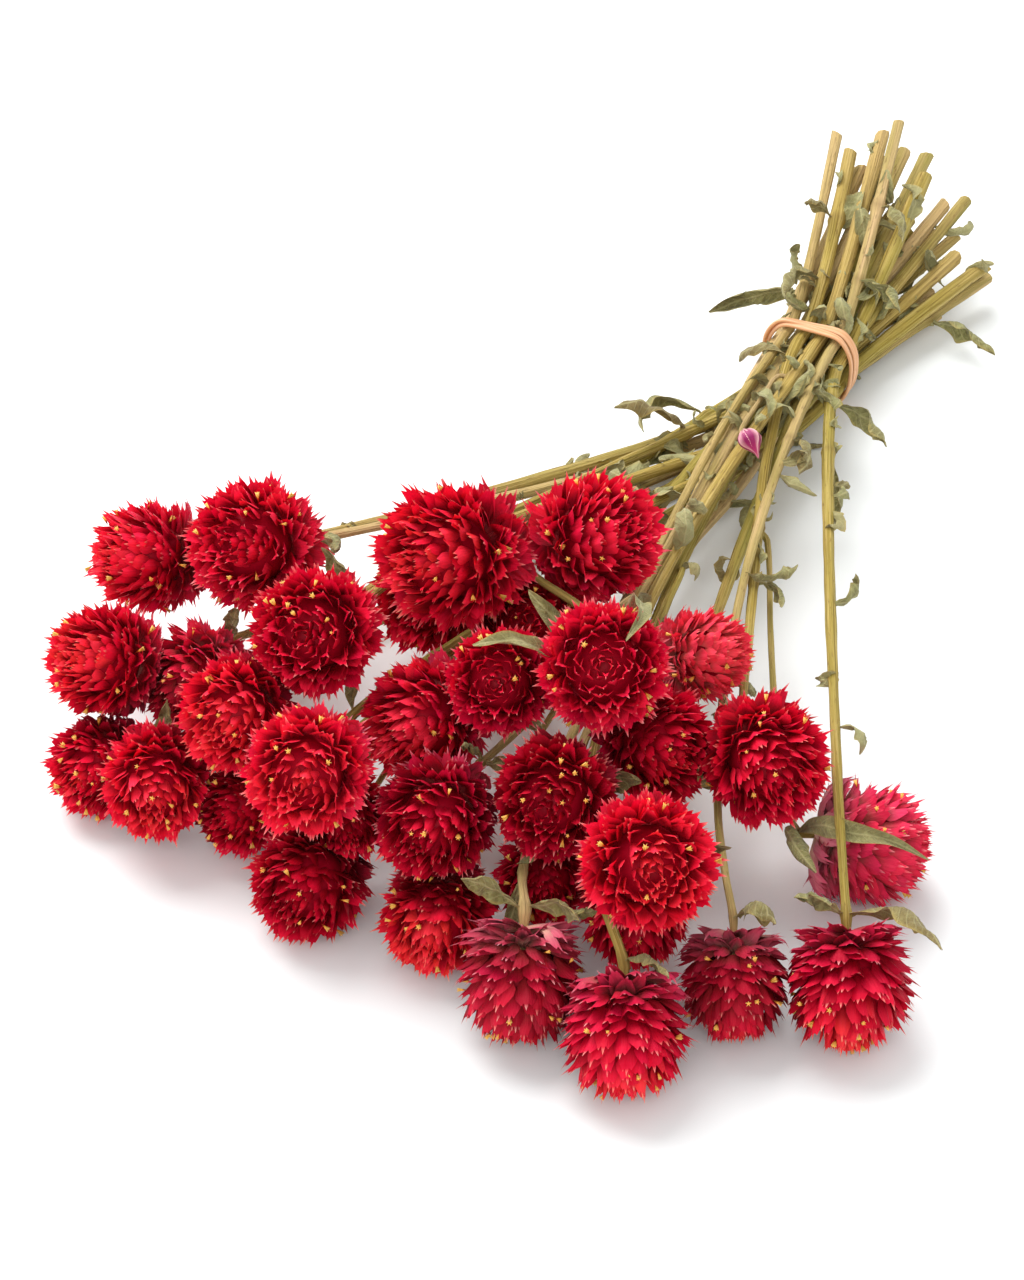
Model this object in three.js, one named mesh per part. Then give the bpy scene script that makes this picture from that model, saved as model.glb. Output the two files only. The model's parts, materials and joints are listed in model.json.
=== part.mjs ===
// A tied bunch of dried globe amaranth, lying on its side. Flower heads of layered pointed
// bracts end leafy stems, which cross inside one rubber band and fan out to their cut ends.
// Millimetres. +Y runs along the stems towards the cut ends, +X to the right, +Z up.
import * as THREE from 'three';

const { Vector3, Group, Mesh, BufferGeometry, MeshStandardMaterial } = THREE;

// Clear space left between two pieces that press on each other
const GAP = 0.4;

// The tie: where it is along the bunch, and how the stems are stacked inside it
const BAND_AT = new Vector3(29, 116, 0);
const BAND_WIDTH = 6.4;
const BAND_THICK = 1.3;
const STACK_ROWS = [4, 5, 4, 5, 4];
const STACK_PITCH = 4.3;
const STACK_FLOOR = 3.38;

// Stems: thick at the cut, thin under the flower
const CUT_RADIUS = 1.95;
const TIE_RADIUS = 1.75;
const NECK_RADIUS = 1.1;
const TWIG_RADIUS = 1.0;
const BUD_TWIG_RADIUS = 0.8;
const STEM_SIDES = 5;

// Where each layer of the stack ends, lowest first: middle of its cut ends in x, y and z
const CUT_ROWS = [
  [47, 164, 7],
  [44, 172, 14],
  [37, 177, 22],
  [28, 178, 29],
  [18, 180, 36],
];
const CUT_SPACING = 4.8;

// A head is a dome on a short barrel: how far its base is behind its middle, in its radii
const BASE_DEPTH = 0.98;

// Flower heads: x, y, z of the middle, radius to the bract tips, then the way the head faces
// as a bearing in plan and a rise above level, both in degrees
const HEADS = {
  outer_left_back: [-75, -40, 30, 13, -125, 25],
  left_back: [-49, -37, 40, 15, -95, 35],
  left_top: [-18, -68, 48, 14.5, -80, 35],
  outer_left: [-67, -77, 30, 13, -115, 35],
  left_inner: [-50, -67, 22, 12, -95, 0],
  left_middle: [-29, -86, 34, 13, -85, 20],
  outer_left_low: [-62, -91, 10.7, 11.5, -95, 10],
  left_low: [-43, -98, 18, 12.5, -65, 10],
  left_front: [-2, -105, 42, 14, -75, 25],
  left_tucked: [-26, -91, 11.5, 10.5, -100, 15],
  left_front_under: [3, -97, 24, 10, -60, 5],
  left_front_low: [-1, -108, 12.5, 13.2, -85, 10],
  back_top: [-1, -34, 50, 16.6, -105, 25],
  back_right: [26, -9, 46, 15, -20, 40],
  back_under: [-13, -17, 21, 13, -85, 15],
  middle_tucked: [14, -24, 27, 12.5, -55, 50],
  middle_top: [25, -63, 45, 12, -75, 35],
  crown: [49, -61, 56, 14.5, -65, 40],
  right_back: [60, -27, 37, 10.5, 0, 25],
  right_middle: [60, -54, 31, 13.2, -35, 15],
  middle: [7, -66, 29, 14, -100, 15],
  middle_front: [25, -98, 32, 13.4, -85, 10],
  centre_dark: [48, -86, 37, 13.4, -80, 25],
  front_top: [77, -101, 41, 14.7, -60, 30],
  front_under: [70, -91, 15, 12, -65, -15],
  front_left_low: [29, -106, 11.5, 12.4, -80, 0],
  front_nodding: [55, -119, 13, 13.8, -70, -45],
  front_low: [82, -125, 13, 13.8, -65, -35],
  right_top: [85, -53, 34, 14, -50, 10],
  outer_right: [108, -46, 13, 13.9, 15, -5],
  front_right_slim: [97, -100, 12, 12.3, -65, -40],
  front_right: [120, -92, 13, 13.9, -65, -35],
  centre_under: [46, -86, 13, 10.5, -60, 15],
};
const BUD = [36, 58, 29, 4.2, -50, 15];

// Stems in the stack, lowest layer first and left to right in each. Each names its own head
// and, where it forks, the side head with the joint of the stem that the twig leaves from
const STEMS = [
  ['outer_left_back'],
  ['left_back'],
  ['outer_left', 'left_inner', 10],
  ['outer_left_low', 'left_low', 10],
  ['back_under'],
  ['left_middle'],
  ['left_tucked'],
  ['left_top'],
  ['left_front', 'left_front_low', 10],
  ['middle', 'left_front_under', 10],
  ['middle_front', 'front_left_low', 10],
  ['middle_top', 'middle_tucked', 8],
  ['back_right'],
  ['centre_dark', 'centre_under', 10],
  ['front_nodding'],
  ['right_middle', 'right_back', 9],
  ['front_top', 'front_under', 10],
  ['front_right'],
  ['crown', 'back_top', 11],
  ['right_top', 'outer_right', 8],
  ['front_low', 'bud', 5],
  ['front_right_slim'],
];

// Leaves: the stem, by its head, and the joint they grow from; the bearing and rise of the
// blade; its length and width; then how far it bends back and twists, all in degrees
const LEAVES = [
  ['back_under', 6, -156, 25, 27, 6, 150, 40],
  ['left_middle', 6, -140, 15, 24, 7, 60, -30],
  ['right_top', 2, -160, 0, 22, 7, 110, 40],
  ['centre_dark', 2, 170, -15, 24, 8, 90, 60],
  ['right_top', 1, 175, 10, 12, 5, 90, 0],
  ['front_right_slim', 1, -20, 10, 15, 6, 80, 30],
  ['front_right_slim', 2, -15, 15, 18, 7, 60, -40],
  ['outer_left_low', 1, 20, 5, 20, 7, 60, 30],
  ['front_right', 5, 5, -10, 18, 7, 70, 30],
  ['front_right', 6, -50, -40, 18, 6, 40, 60],
  ['front_right_slim', 6, -20, 20, 16, 6, 110, 30],
  ['right_top', 9, -10, 10, 13, 5, 80, 0],
  ['crown', 13, -160, 15, 25, 8, -30, 20],
  ['crown', 12, -40, 50, 17, 7, 60, 20],
  ['right_middle', 13, 10, 30, 24, 6, -110, 20],
  ['right_back', 4, 100, 20, 12, 5, 40, 0],
  ['left_back', 12, -30, 30, 17, 7, 80, 30],
  ['left_top', 12, 120, 30, 14, 6, 60, 30],
  ['left_top', 13, -30, -20, 18, 7, 60, 30],
  ['left_inner', 4, 60, 40, 14, 6, 50, 0],
  ['centre_dark', 13, 20, 15, 17, 8, 50, 10],
  ['front_top', 13, 20, 5, 18, 8, 40, 20],
  ['front_nodding', 13, 170, 30, 15, 6, 60, 30],
  ['front_nodding', 13, -10, 20, 16, 6, 70, -30],
  ['front_nodding', 12, -165, -30, 20, 4, 40, 20],
  ['front_low', 12, 170, 0, 14, 6, 60, 20],
  ['front_low', 13, -10, 0, 16, 6, 60, -20],
  ['front_right_slim', 13, 0, 45, 14, 9, 110, 20],
  ['front_right', 13, 170, 40, 15, 6, 80, 40],
  ['front_right', 13, -5, 20, 26, 8, 80, 20],
  ['outer_right', 4, -60, 70, 27, 7, 105, 0],
  ['right_top', 12, -15, 10, 16, 4, 40, 20],
  ['left_low', 4, 90, 20, 11, 5, 60, 0],
  ['middle_front', 12, 180, 20, 12, 5, 60, 20],
  ['middle_front', 12, 0, 20, 12, 5, 60, -20],
  ['back_top', 4, 20, 30, 13, 5, 60, 0],
];
const LEAF_CUTS = [0, 0.28, 0.56, 0.82, 1];
const LEAF_SPREAD = [0.22, 0.85, 1, 0.65, 0.12];
const LEAF_THICK = 0.65;
const LEAF_FOLD = 0.3;
const LEAF_CLEARANCE = 0.95;

const JOINTS_TO_TIE = 4;
const JOINTS_TO_HEAD = 10;
const TWIG_JOINTS = 5;

// A repeatable draw between 0 and 1
function makeDraw(seed) {
  let state = seed;
  return () => {
    state = (state * 1664525 + 1013904223) % 4294967296;
    return state / 4294967296;
  };
}

function facing(bearing, rise) {
  const b = THREE.MathUtils.degToRad(bearing);
  const e = THREE.MathUtils.degToRad(rise);
  return new Vector3(Math.cos(b) * Math.cos(e), Math.sin(b) * Math.cos(e), Math.sin(e));
}

function readHeads() {
  const heads = {};
  for (const [name, [x, y, z, radius, bearing, rise]] of Object.entries(HEADS)) {
    heads[name] = { name, centre: new Vector3(x, y, z), radius, axis: facing(bearing, rise) };
  }
  const [x, y, z, radius, bearing, rise] = BUD;
  heads.bud = { name: 'bud', centre: new Vector3(x, y, z), radius, axis: facing(bearing, rise) };
  return heads;
}

// Places in the tie: staggered rows, so that every stem touches the layer below
function stackSlots() {
  const slots = [];
  STACK_ROWS.forEach((count, row) => {
    for (let i = 0; i < count; i += 1) {
      const x = BAND_AT.x + (i - (count - 1) / 2) * STACK_PITCH;
      const z = STACK_FLOOR + row * STACK_PITCH * 0.87;
      slots.push({ row, across: i - (count - 1) / 2, at: new Vector3(x, BAND_AT.y, z) });
    }
  });
  return slots;
}

// A smooth sweep from one place and way to another
function sweep(from, fromWay, to, toWay, count) {
  const span = from.distanceTo(to);
  const points = [];
  for (let i = 0; i < count; i += 1) {
    const t = i / (count - 1);
    const a = 2 * t ** 3 - 3 * t ** 2 + 1;
    const b = t ** 3 - 2 * t ** 2 + t;
    const c = -2 * t ** 3 + 3 * t ** 2;
    const d = t ** 3 - t ** 2;
    const p = new Vector3().addScaledVector(from, a).addScaledVector(fromWay, b * span);
    points.push(p.addScaledVector(to, c).addScaledVector(toWay, d * span));
  }
  return points;
}

// How far a head reaches from its middle, in its radii, from the lean towards its axis
function headProfile(lean) {
  if (lean >= 0) return 1;
  const across = Math.sqrt(Math.max(0, 1 - lean * lean));
  return (across ** 5 + (-lean / BASE_DEPTH) ** 5) ** -0.2;
}

function headReach(head, way) {
  return head.radius * headProfile(way.dot(head.axis));
}

// The two last joints of a stem: one just outside the head and one in its dimpled base
function neckOf(head) {
  const inside = head.centre.clone().addScaledVector(head.axis, -(0.8 * head.radius + 1.4));
  const outside = head.centre.clone().addScaledVector(head.axis, -(head.radius + 3));
  return [outside, inside];
}

function mainStem(head, slot, draw) {
  const [cutX, cutY, cutZ] = CUT_ROWS[slot.row];
  const cut = new Vector3(
    cutX + slot.across * CUT_SPACING + 3 * (draw() - 0.5),
    cutY + 16 * (draw() - 0.5),
    cutZ + 7 * (draw() - 0.5),
  );
  const [neck, end] = neckOf(head);
  const behind = slot.at.clone().add(new Vector3(0, 4, 0));
  const ahead = slot.at.clone().add(new Vector3(0, -4, 0));
  const toHead = neck.clone().sub(ahead).normalize();
  const toCut = cut.clone().sub(behind).normalize();
  const tail = sweep(cut, toCut.clone().negate(), behind, toCut.clone().negate(), JOINTS_TO_TIE);
  const arm = sweep(ahead, toHead, neck, head.axis.clone().multiplyScalar(0.6), JOINTS_TO_HEAD);
  const points = [...tail, ...arm, end];
  const last = points.length - 1;
  const fixed = points.map((p, i) => i === 3 || i === 4 || i >= last - 1);
  const radii = points.map((p, i) => {
    if (i < JOINTS_TO_TIE) return CUT_RADIUS + (TIE_RADIUS - CUT_RADIUS) * (i / 3);
    const along = (i - JOINTS_TO_TIE) / (last - JOINTS_TO_TIE);
    return TIE_RADIUS + (NECK_RADIUS - TIE_RADIUS) * Math.min(1, along * 1.25);
  });
  return { head, points, fixed, radii, parent: null, joint: 0 };
}

// A twig stands beside its stem where it forks off, clear of the wall that it grows from
function footOf(parent, joint, towards, radius) {
  const at = parent.points[joint];
  const along = parent.points[joint + 1].clone().sub(parent.points[joint - 1]).normalize();
  const out = towards.clone().sub(at);
  out.addScaledVector(along, -out.dot(along)).normalize();
  const foot = at.clone().addScaledVector(out, 1.08 * parent.radii[joint] + radius + 0.7);
  return { foot: foot.addScaledVector(along, 1.6), out, along };
}

function sideTwig(head, parent, joint) {
  const [neck, end] = neckOf(head);
  const thin = head.name === 'bud' ? BUD_TWIG_RADIUS : TWIG_RADIUS;
  const { foot, out, along } = footOf(parent, joint, neck, thin);
  const way = neck.clone().sub(foot).normalize().add(along).add(out).normalize();
  const points = [...sweep(foot, way, neck, head.axis, TWIG_JOINTS), end];
  const last = points.length - 1;
  const fixed = points.map((p, i) => i >= last - 1);
  return { head, points, fixed, radii: points.map(() => thin), parent, joint };
}

function layOutStems(heads) {
  const draw = makeDraw(7);
  const slots = stackSlots();
  const stems = [];
  STEMS.forEach(([own, side, joint], i) => {
    const stem = mainStem(heads[own], slots[i], draw);
    stems.push(stem);
    if (side) stems.push(sideTwig(heads[side], stem, joint));
  });
  return stems;
}

// Nearest places of two straight pieces, as fractions along each
function nearest(a0, a1, b0, b1) {
  const u = a1.clone().sub(a0);
  const v = b1.clone().sub(b0);
  const w = a0.clone().sub(b0);
  const a = u.dot(u);
  const b = u.dot(v);
  const c = v.dot(v);
  const d = u.dot(w);
  const e = v.dot(w);
  const clamp = (x) => Math.min(1, Math.max(0, x));
  const det = a * c - b * b;
  let s = det > 1e-9 ? clamp((b * e - c * d) / det) : 0.5;
  const t = clamp((b * s + e) / c);
  s = clamp((b * t - d) / a);
  return [s, t];
}

function nearestOnPiece(a, b, p) {
  const way = b.clone().sub(a);
  return Math.min(1, Math.max(0, p.clone().sub(a).dot(way) / way.lengthSq()));
}

function pieceList(stems) {
  const pieces = [];
  stems.forEach((stem) => {
    for (let i = 0; i + 1 < stem.points.length; i += 1) pieces.push({ stem, i });
  });
  return pieces;
}

// How far a joint stands off the straight line between its neighbours
function bowAt(points, i) {
  if (i === 0 || i + 1 === points.length) return new Vector3();
  return points[i - 1].clone().add(points[i + 1]).multiplyScalar(0.5).sub(points[i]);
}

// Stems bend away from each other, from the heads and from the table until all are clear
function settle(stems, heads, rounds) {
  const pieces = pieceList(stems);
  const headList = Object.values(heads);
  const push = new Map();
  stems.forEach((stem) => push.set(stem, stem.points.map(() => ({ move: new Vector3(), n: 0 }))));
  const shove = (stem, i, share, move) => {
    const both = share * share + (1 - share) * (1 - share);
    const lo = push.get(stem)[i];
    const hi = push.get(stem)[i + 1];
    lo.move.addScaledVector(move, (1 - share) / both);
    lo.n += 1 - share;
    hi.move.addScaledVector(move, share / both);
    hi.n += share;
  };
  const place = (p, s) => p.stem.points[p.i].clone().lerp(p.stem.points[p.i + 1], s);
  const thick = (p, s) => p.stem.radii[p.i] * (1 - s) + p.stem.radii[p.i + 1] * s;
  for (let round = 0; round < rounds; round += 1) {
    [...push.values()].flat().forEach((joint) => {
      joint.move.set(0, 0, 0);
      joint.n = 0;
    });
    for (let i = 0; i < pieces.length; i += 1) {
      const p = pieces[i];
      for (let j = i + 1; j < pieces.length; j += 1) {
        const q = pieces[j];
        if (p.stem.points[p.i].distanceToSquared(q.stem.points[q.i]) > 3600) continue;
        if (p.stem === q.stem) continue;
        const [s, t] = nearest(
          p.stem.points[p.i], p.stem.points[p.i + 1], q.stem.points[q.i], q.stem.points[q.i + 1],
        );
        const apart = place(p, s).sub(place(q, t));
        const lack = thick(p, s) + thick(q, t) + GAP + 0.1 - apart.length();
        if (lack <= 0) continue;
        const move = apart.normalize().multiplyScalar(lack / 2);
        shove(p.stem, p.i, s, move);
        shove(q.stem, q.i, t, move.negate());
      }
      for (const head of headList) {
        if (p.stem.head === head && p.i >= p.stem.points.length - 2) continue;
        const s = nearestOnPiece(p.stem.points[p.i], p.stem.points[p.i + 1], head.centre);
        const apart = place(p, s).sub(head.centre);
        const far = apart.length();
        apart.normalize();
        const lack = 0.9 * headReach(head, apart) + thick(p, s) + GAP - far;
        if (lack > 0) shove(p.stem, p.i, s, apart.multiplyScalar(lack));
      }
    }
    const spring = round < rounds * 0.6 ? 0.3 : 0;
    stems.forEach((stem) => {
      const bow = stem.points.map((p, i) => bowAt(stem.points, i));
      stem.points.forEach((p, i) => {
        if (stem.fixed[i]) return;
        const { move, n } = push.get(stem)[i];
        if (n > 0) p.addScaledVector(move, 1 / Math.max(1, n));
        if (i > 0 && i + 1 < bow.length) {
          const beside = bow[i - 1].clone().add(bow[i + 1]).multiplyScalar(0.5);
          p.addScaledVector(bow[i].clone().sub(beside), spring);
        }
        p.z = Math.max(p.z, stem.radii[i] + 0.3);
      });
    });
    stems.forEach((stem) => {
      if (!stem.parent) return;
      stem.points[0].copy(footOf(stem.parent, stem.joint, stem.points[1], stem.radii[0]).foot);
    });
  }
}

// A closed surface put together from loops of corners
class Skin {
  constructor() {
    this.corners = [];
    this.faces = [];
  }

  add(p) {
    this.corners.push(p.clone());
    return this.corners.length - 1;
  }

  loop(points) {
    return points.map((p) => this.add(p));
  }

  // Walls between two loops of as many corners; crossed lists quads split the other way
  bridge(from, to, skip = [], crossed = []) {
    const n = from.length;
    for (let i = 0; i < n; i += 1) {
      const k = (i + 1) % n;
      if (skip.includes(i)) continue;
      if (crossed.includes(i)) {
        this.faces.push([from[i], from[k], to[i]], [from[k], to[k], to[i]]);
      } else {
        this.faces.push([from[i], from[k], to[k]], [from[i], to[k], to[i]]);
      }
    }
  }

  // Walls between loops of different counts, matched by their turn about the way of growth
  zip(from, to, way) {
    const side = sideways(way);
    const other = way.clone().cross(side);
    const turned = (loop) => {
      const middle = new Vector3();
      loop.forEach((i) => middle.addScaledVector(this.corners[i], 1 / loop.length));
      const list = loop.map((i) => {
        const d = this.corners[i].clone().sub(middle);
        return { i, turn: Math.atan2(d.dot(other), d.dot(side)) };
      });
      list.sort((a, b) => a.turn - b.turn);
      list.push({ i: list[0].i, turn: list[0].turn + 2 * Math.PI });
      return list;
    };
    const a = turned(from);
    const b = turned(to);
    let i = 0;
    let j = 0;
    while (i + 1 < a.length || j + 1 < b.length) {
      const stepFrom = j + 1 >= b.length || (i + 1 < a.length && a[i + 1].turn < b[j + 1].turn);
      if (stepFrom) {
        this.faces.push([a[i].i, a[i + 1].i, b[j].i]);
        i += 1;
      } else {
        this.faces.push([a[i].i, b[j + 1].i, b[j].i]);
        j += 1;
      }
    }
  }

  cap(loop, flip) {
    for (let i = 1; i + 1 < loop.length; i += 1) {
      this.faces.push(flip ? [loop[0], loop[i + 1], loop[i]] : [loop[0], loop[i], loop[i + 1]]);
    }
  }

  toMesh(name, material) {
    const geometry = new BufferGeometry().setFromPoints(this.corners);
    geometry.setIndex(this.faces.flat());
    geometry.computeVertexNormals();
    const mesh = new Mesh(geometry, material);
    mesh.name = name;
    return mesh;
  }
}

// A level or near-level direction square to a way
function sideways(way) {
  const helper = Math.abs(way.z) < 0.9 ? new Vector3(0, 0, 1) : new Vector3(1, 0, 0);
  return helper.cross(way).normalize();
}

// Flat limits around a head: its bracts stop at its neighbours, at stems and at the table
function limitsAround(head, heads, stems) {
  const limits = [{ way: new Vector3(0, 0, -1), reach: head.centre.z }];
  Object.values(heads).forEach((other) => {
    if (other === head) return;
    const way = other.centre.clone().sub(head.centre);
    const apart = way.length();
    if (apart > 1.22 * (head.radius + other.radius) + GAP) return;
    way.normalize();
    const here = headReach(head, way);
    const there = headReach(other, way.clone().negate());
    limits.push({ way, reach: (apart * here) / (here + there) - GAP / 2 });
  });
  pieceList(stems).forEach(({ stem, i }) => {
    if (stem.head === head && i >= stem.points.length - 2) return;
    const a = stem.points[i];
    const b = stem.points[i + 1];
    const s = nearestOnPiece(a, b, head.centre);
    const way = a.clone().lerp(b, s).sub(head.centre);
    const reach = way.length() - Math.max(stem.radii[i], stem.radii[i + 1]) - 0.85 * GAP;
    if (reach < 1.22 * head.radius) limits.push({ way: way.normalize(), reach });
  });
  return limits;
}

// A flower head: rings of pointed bracts round its axis, each ring set between the last, so
// that four faces rise to every tip. The base is dimpled where it takes the stem.
function headSkin(head, limits, around, rings) {
  const skin = new Skin();
  const side = sideways(head.axis);
  const other = head.axis.clone().cross(side);
  const place = (polar, turn, distance) => {
    const way = head.axis.clone().multiplyScalar(Math.cos(polar));
    way.addScaledVector(side, Math.sin(polar) * Math.cos(turn));
    way.addScaledVector(other, Math.sin(polar) * Math.sin(turn));
    let far = distance;
    limits.forEach((limit) => {
      const lean = way.dot(limit.way);
      if (lean > 0) far = Math.min(far, limit.reach / lean);
    });
    return skin.add(head.centre.clone().addScaledVector(way, far));
  };
  const R = head.radius;
  const polarOf = (ring) => 0.14 + 2.66 * ((ring + 0.2) / rings) ** 0.92;
  const valleyAt = (polar) => {
    const back = Math.max(0, -Math.cos(polar));
    const depth = 0.74 + 0.05 * Math.cos(polar) + 0.2 * back * back;
    return R * depth * headProfile(Math.cos(polar));
  };
  const turnOf = (ring, i) => ((i + 0.5 * (ring % 2)) * 2 * Math.PI) / around;
  const rows = [];
  for (let ring = 0; ring < rings; ring += 1) {
    const row = [];
    for (let i = 0; i < around; i += 1) {
      row.push(place(polarOf(ring), turnOf(ring, i), valleyAt(polarOf(ring))));
    }
    rows.push(row);
  }
  const crown = place(0, 0, R * 0.8);
  const hollow = place(Math.PI, 0, R * 0.8);
  for (let ring = 0; ring < rings; ring += 1) {
    const odd = ring % 2;
    for (let i = 0; i < around; i += 1) {
      const left = rows[ring][i];
      const right = rows[ring][(i + 1) % around];
      const beside = (i + odd) % around;
      const above = ring > 0 ? rows[ring - 1][beside] : crown;
      const below = ring + 1 < rings ? rows[ring + 1][beside] : hollow;
      const up = ring > 0 ? polarOf(ring - 1) : 0.02;
      const polar = polarOf(ring) * 0.4 + up * 0.6;
      const tip = place(polar, turnOf(ring, i + 0.5), R * headProfile(Math.cos(polar)));
      skin.faces.push([left, tip, above], [above, tip, right]);
      skin.faces.push([below, tip, left], [right, tip, below]);
    }
  }
  return skin;
}

// A leaf as cross-cuts along its rib: each has its middle, the way across and the way up
function leafCuts(stem, joint, way, out, up, [length, width, bend, twist]) {
  const steps = LEAF_CUTS.length - 1;
  const dir = way.clone();
  const normal = up.clone().addScaledVector(way, -up.dot(way)).normalize();
  const middle = stem.points[joint].clone().addScaledVector(out, 1.08 * stem.radii[joint] + 0.8);
  const cuts = [];
  LEAF_CUTS.forEach((along, i) => {
    if (i > 0) {
      const across = normal.clone().cross(dir);
      const turn = -THREE.MathUtils.degToRad(bend) / steps;
      dir.applyAxisAngle(across, turn / 2);
      normal.applyAxisAngle(across, turn / 2);
      middle.addScaledVector(dir, (along - LEAF_CUTS[i - 1]) * length);
      dir.applyAxisAngle(across, turn / 2);
      normal.applyAxisAngle(across, turn / 2);
      normal.applyAxisAngle(dir, THREE.MathUtils.degToRad(twist) / steps);
    }
    const across = normal.clone().cross(dir);
    const half = (LEAF_SPREAD[i] * width) / 2;
    cuts.push({ middle: middle.clone(), across, up: normal.clone(), half });
  });
  return cuts;
}

function cutPoint(cut, side, height) {
  const p = cut.middle.clone().addScaledVector(cut.across, side * cut.half);
  return p.addScaledVector(cut.up, Math.abs(side) * cut.half * LEAF_FOLD + height);
}

// Places spread over a blade, for measuring how clear it is
function leafSamples(cuts) {
  const samples = [];
  for (let i = 0; i + 1 < cuts.length; i += 1) {
    for (const t of [0, 0.35, 0.7]) {
      for (const side of [-1, -0.5, 0, 0.5, 1]) {
        const p = cutPoint(cuts[i], side, 0).lerp(cutPoint(cuts[i + 1], side, 0), t);
        samples.push({ p, root: i === 0 && t === 0 });
      }
    }
  }
  samples.push({ p: cuts[cuts.length - 1].middle, root: false });
  return samples;
}

// How much room a blade lacks from stems, heads, other leaves, the band and the table
function leafLack(cuts, stem, joint, pieces, headList, placed) {
  let lack = 0;
  for (const { p, root } of leafSamples(cuts)) {
    lack += Math.max(0, 0.8 - p.z);
    for (const piece of pieces) {
      const near = piece.stem === stem && Math.abs(piece.i + 0.5 - joint) < 1;
      const fork = stem.parent === piece.stem || piece.stem.parent === stem;
      if (root && (near || fork)) continue;
      const a = piece.stem.points[piece.i];
      const b = piece.stem.points[piece.i + 1];
      if (a.distanceToSquared(p) > 2500) continue;
      const gap = a.clone().lerp(b, nearestOnPiece(a, b, p)).distanceTo(p);
      lack += Math.max(0, piece.stem.radii[piece.i] + LEAF_CLEARANCE - gap);
    }
    for (const head of headList) {
      const way = p.clone().sub(head.centre);
      const far = way.length();
      if (far < 30) lack += Math.max(0, headReach(head, way.normalize()) + 0.8 - far);
    }
    for (const other of placed) {
      if (other.distanceToSquared(p) < 4) lack += 2 - other.distanceTo(p);
    }
    if (Math.abs(p.y - BAND_AT.y) < BAND_WIDTH / 2 + 1.5) {
      lack += Math.max(0, 15 - Math.hypot(p.x - BAND_AT.x, p.z - 11));
    }
  }
  return lack;
}

// A leaf keeps to the way it is given as far as there is room, turning about its stem
function fitLeaf(row, stems, headList, placed) {
  const [name, joint, bearing, rise, length, width, bend, twist] = row;
  const stem = stems.find((s) => s.head.name === name);
  const pieces = pieceList(stems);
  const along = stem.points[joint + 1].clone().sub(stem.points[joint - 1]).normalize();
  const wish = facing(bearing, rise);
  const lean = Math.min(0.9, Math.max(-0.5, wish.dot(along)));
  const out = wish.clone().addScaledVector(along, -wish.dot(along)).normalize();
  let best = null;
  for (let size = 1; size > 0.35 && !(best && best.lack < 0.02); size *= 0.85) {
    for (let turn = -170; turn <= 180; turn += 10) {
      for (const more of [-0.35, 0, 0.35]) {
        const slope = Math.min(0.9, Math.max(-0.5, lean + more));
        const round = out.clone().applyAxisAngle(along, THREE.MathUtils.degToRad(turn));
        const way = round.clone().multiplyScalar(Math.sqrt(1 - slope * slope));
        way.addScaledVector(along, slope);
        const form = [length * size, width * Math.sqrt(size), bend, twist];
        const cuts = leafCuts(stem, joint, way, round, along, form);
        const lack = leafLack(cuts, stem, joint, pieces, headList, placed);
        const cost = lack * 5 + Math.abs(turn) / 45 + Math.abs(more);
        if (best && cost >= best.cost) continue;
        best = { cost, lack, cuts, way, out: round, stem, joint, size, name };
      }
    }
  }
  leafSamples(best.cuts).forEach(({ p, root }) => {
    if (!root) placed.push(p);
  });
  return best;
}

function growLeaf(skin, loop, leaf) {
  let last = loop;
  leaf.cuts.forEach((cut, i) => {
    const t = LEAF_THICK / 2;
    const corners = [[1, t], [0, t], [-1, t], [-1, -t], [0, -t], [1, -t]];
    const next = skin.loop(corners.map(([side, height]) => cutPoint(cut, side, height)));
    if (i === 0) skin.zip(last, next, leaf.way.clone().add(leaf.out).normalize());
    else skin.bridge(last, next, [], [3, 4]);
    last = next;
  });
  skin.cap(last, false);
}

// Corners of a round cut across a stem; its start turns as little as it can along the stem
function ringAt(skin, middle, way, start, radius) {
  start.addScaledVector(way, -start.dot(way)).normalize();
  const other = way.clone().cross(start);
  const points = [];
  for (let i = 0; i < STEM_SIDES; i += 1) {
    const turn = (i * 2 * Math.PI) / STEM_SIDES;
    const p = middle.clone().addScaledVector(start, radius * Math.cos(turn));
    points.push(p.addScaledVector(other, radius * Math.sin(turn)));
  }
  return skin.loop(points);
}

// The wall of a stem that faces nearest to a way, of those still free
function facingWall(start, way, out, taken) {
  const other = way.clone().cross(start);
  let best = -1;
  let most = -2;
  for (let i = 0; i < STEM_SIDES; i += 1) {
    const turn = ((i + 0.5) * 2 * Math.PI) / STEM_SIDES;
    const faces = out.dot(start) * Math.cos(turn) + out.dot(other) * Math.sin(turn);
    if (!taken.includes(i) && faces > most) {
      best = i;
      most = faces;
    }
  }
  return best;
}

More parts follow.
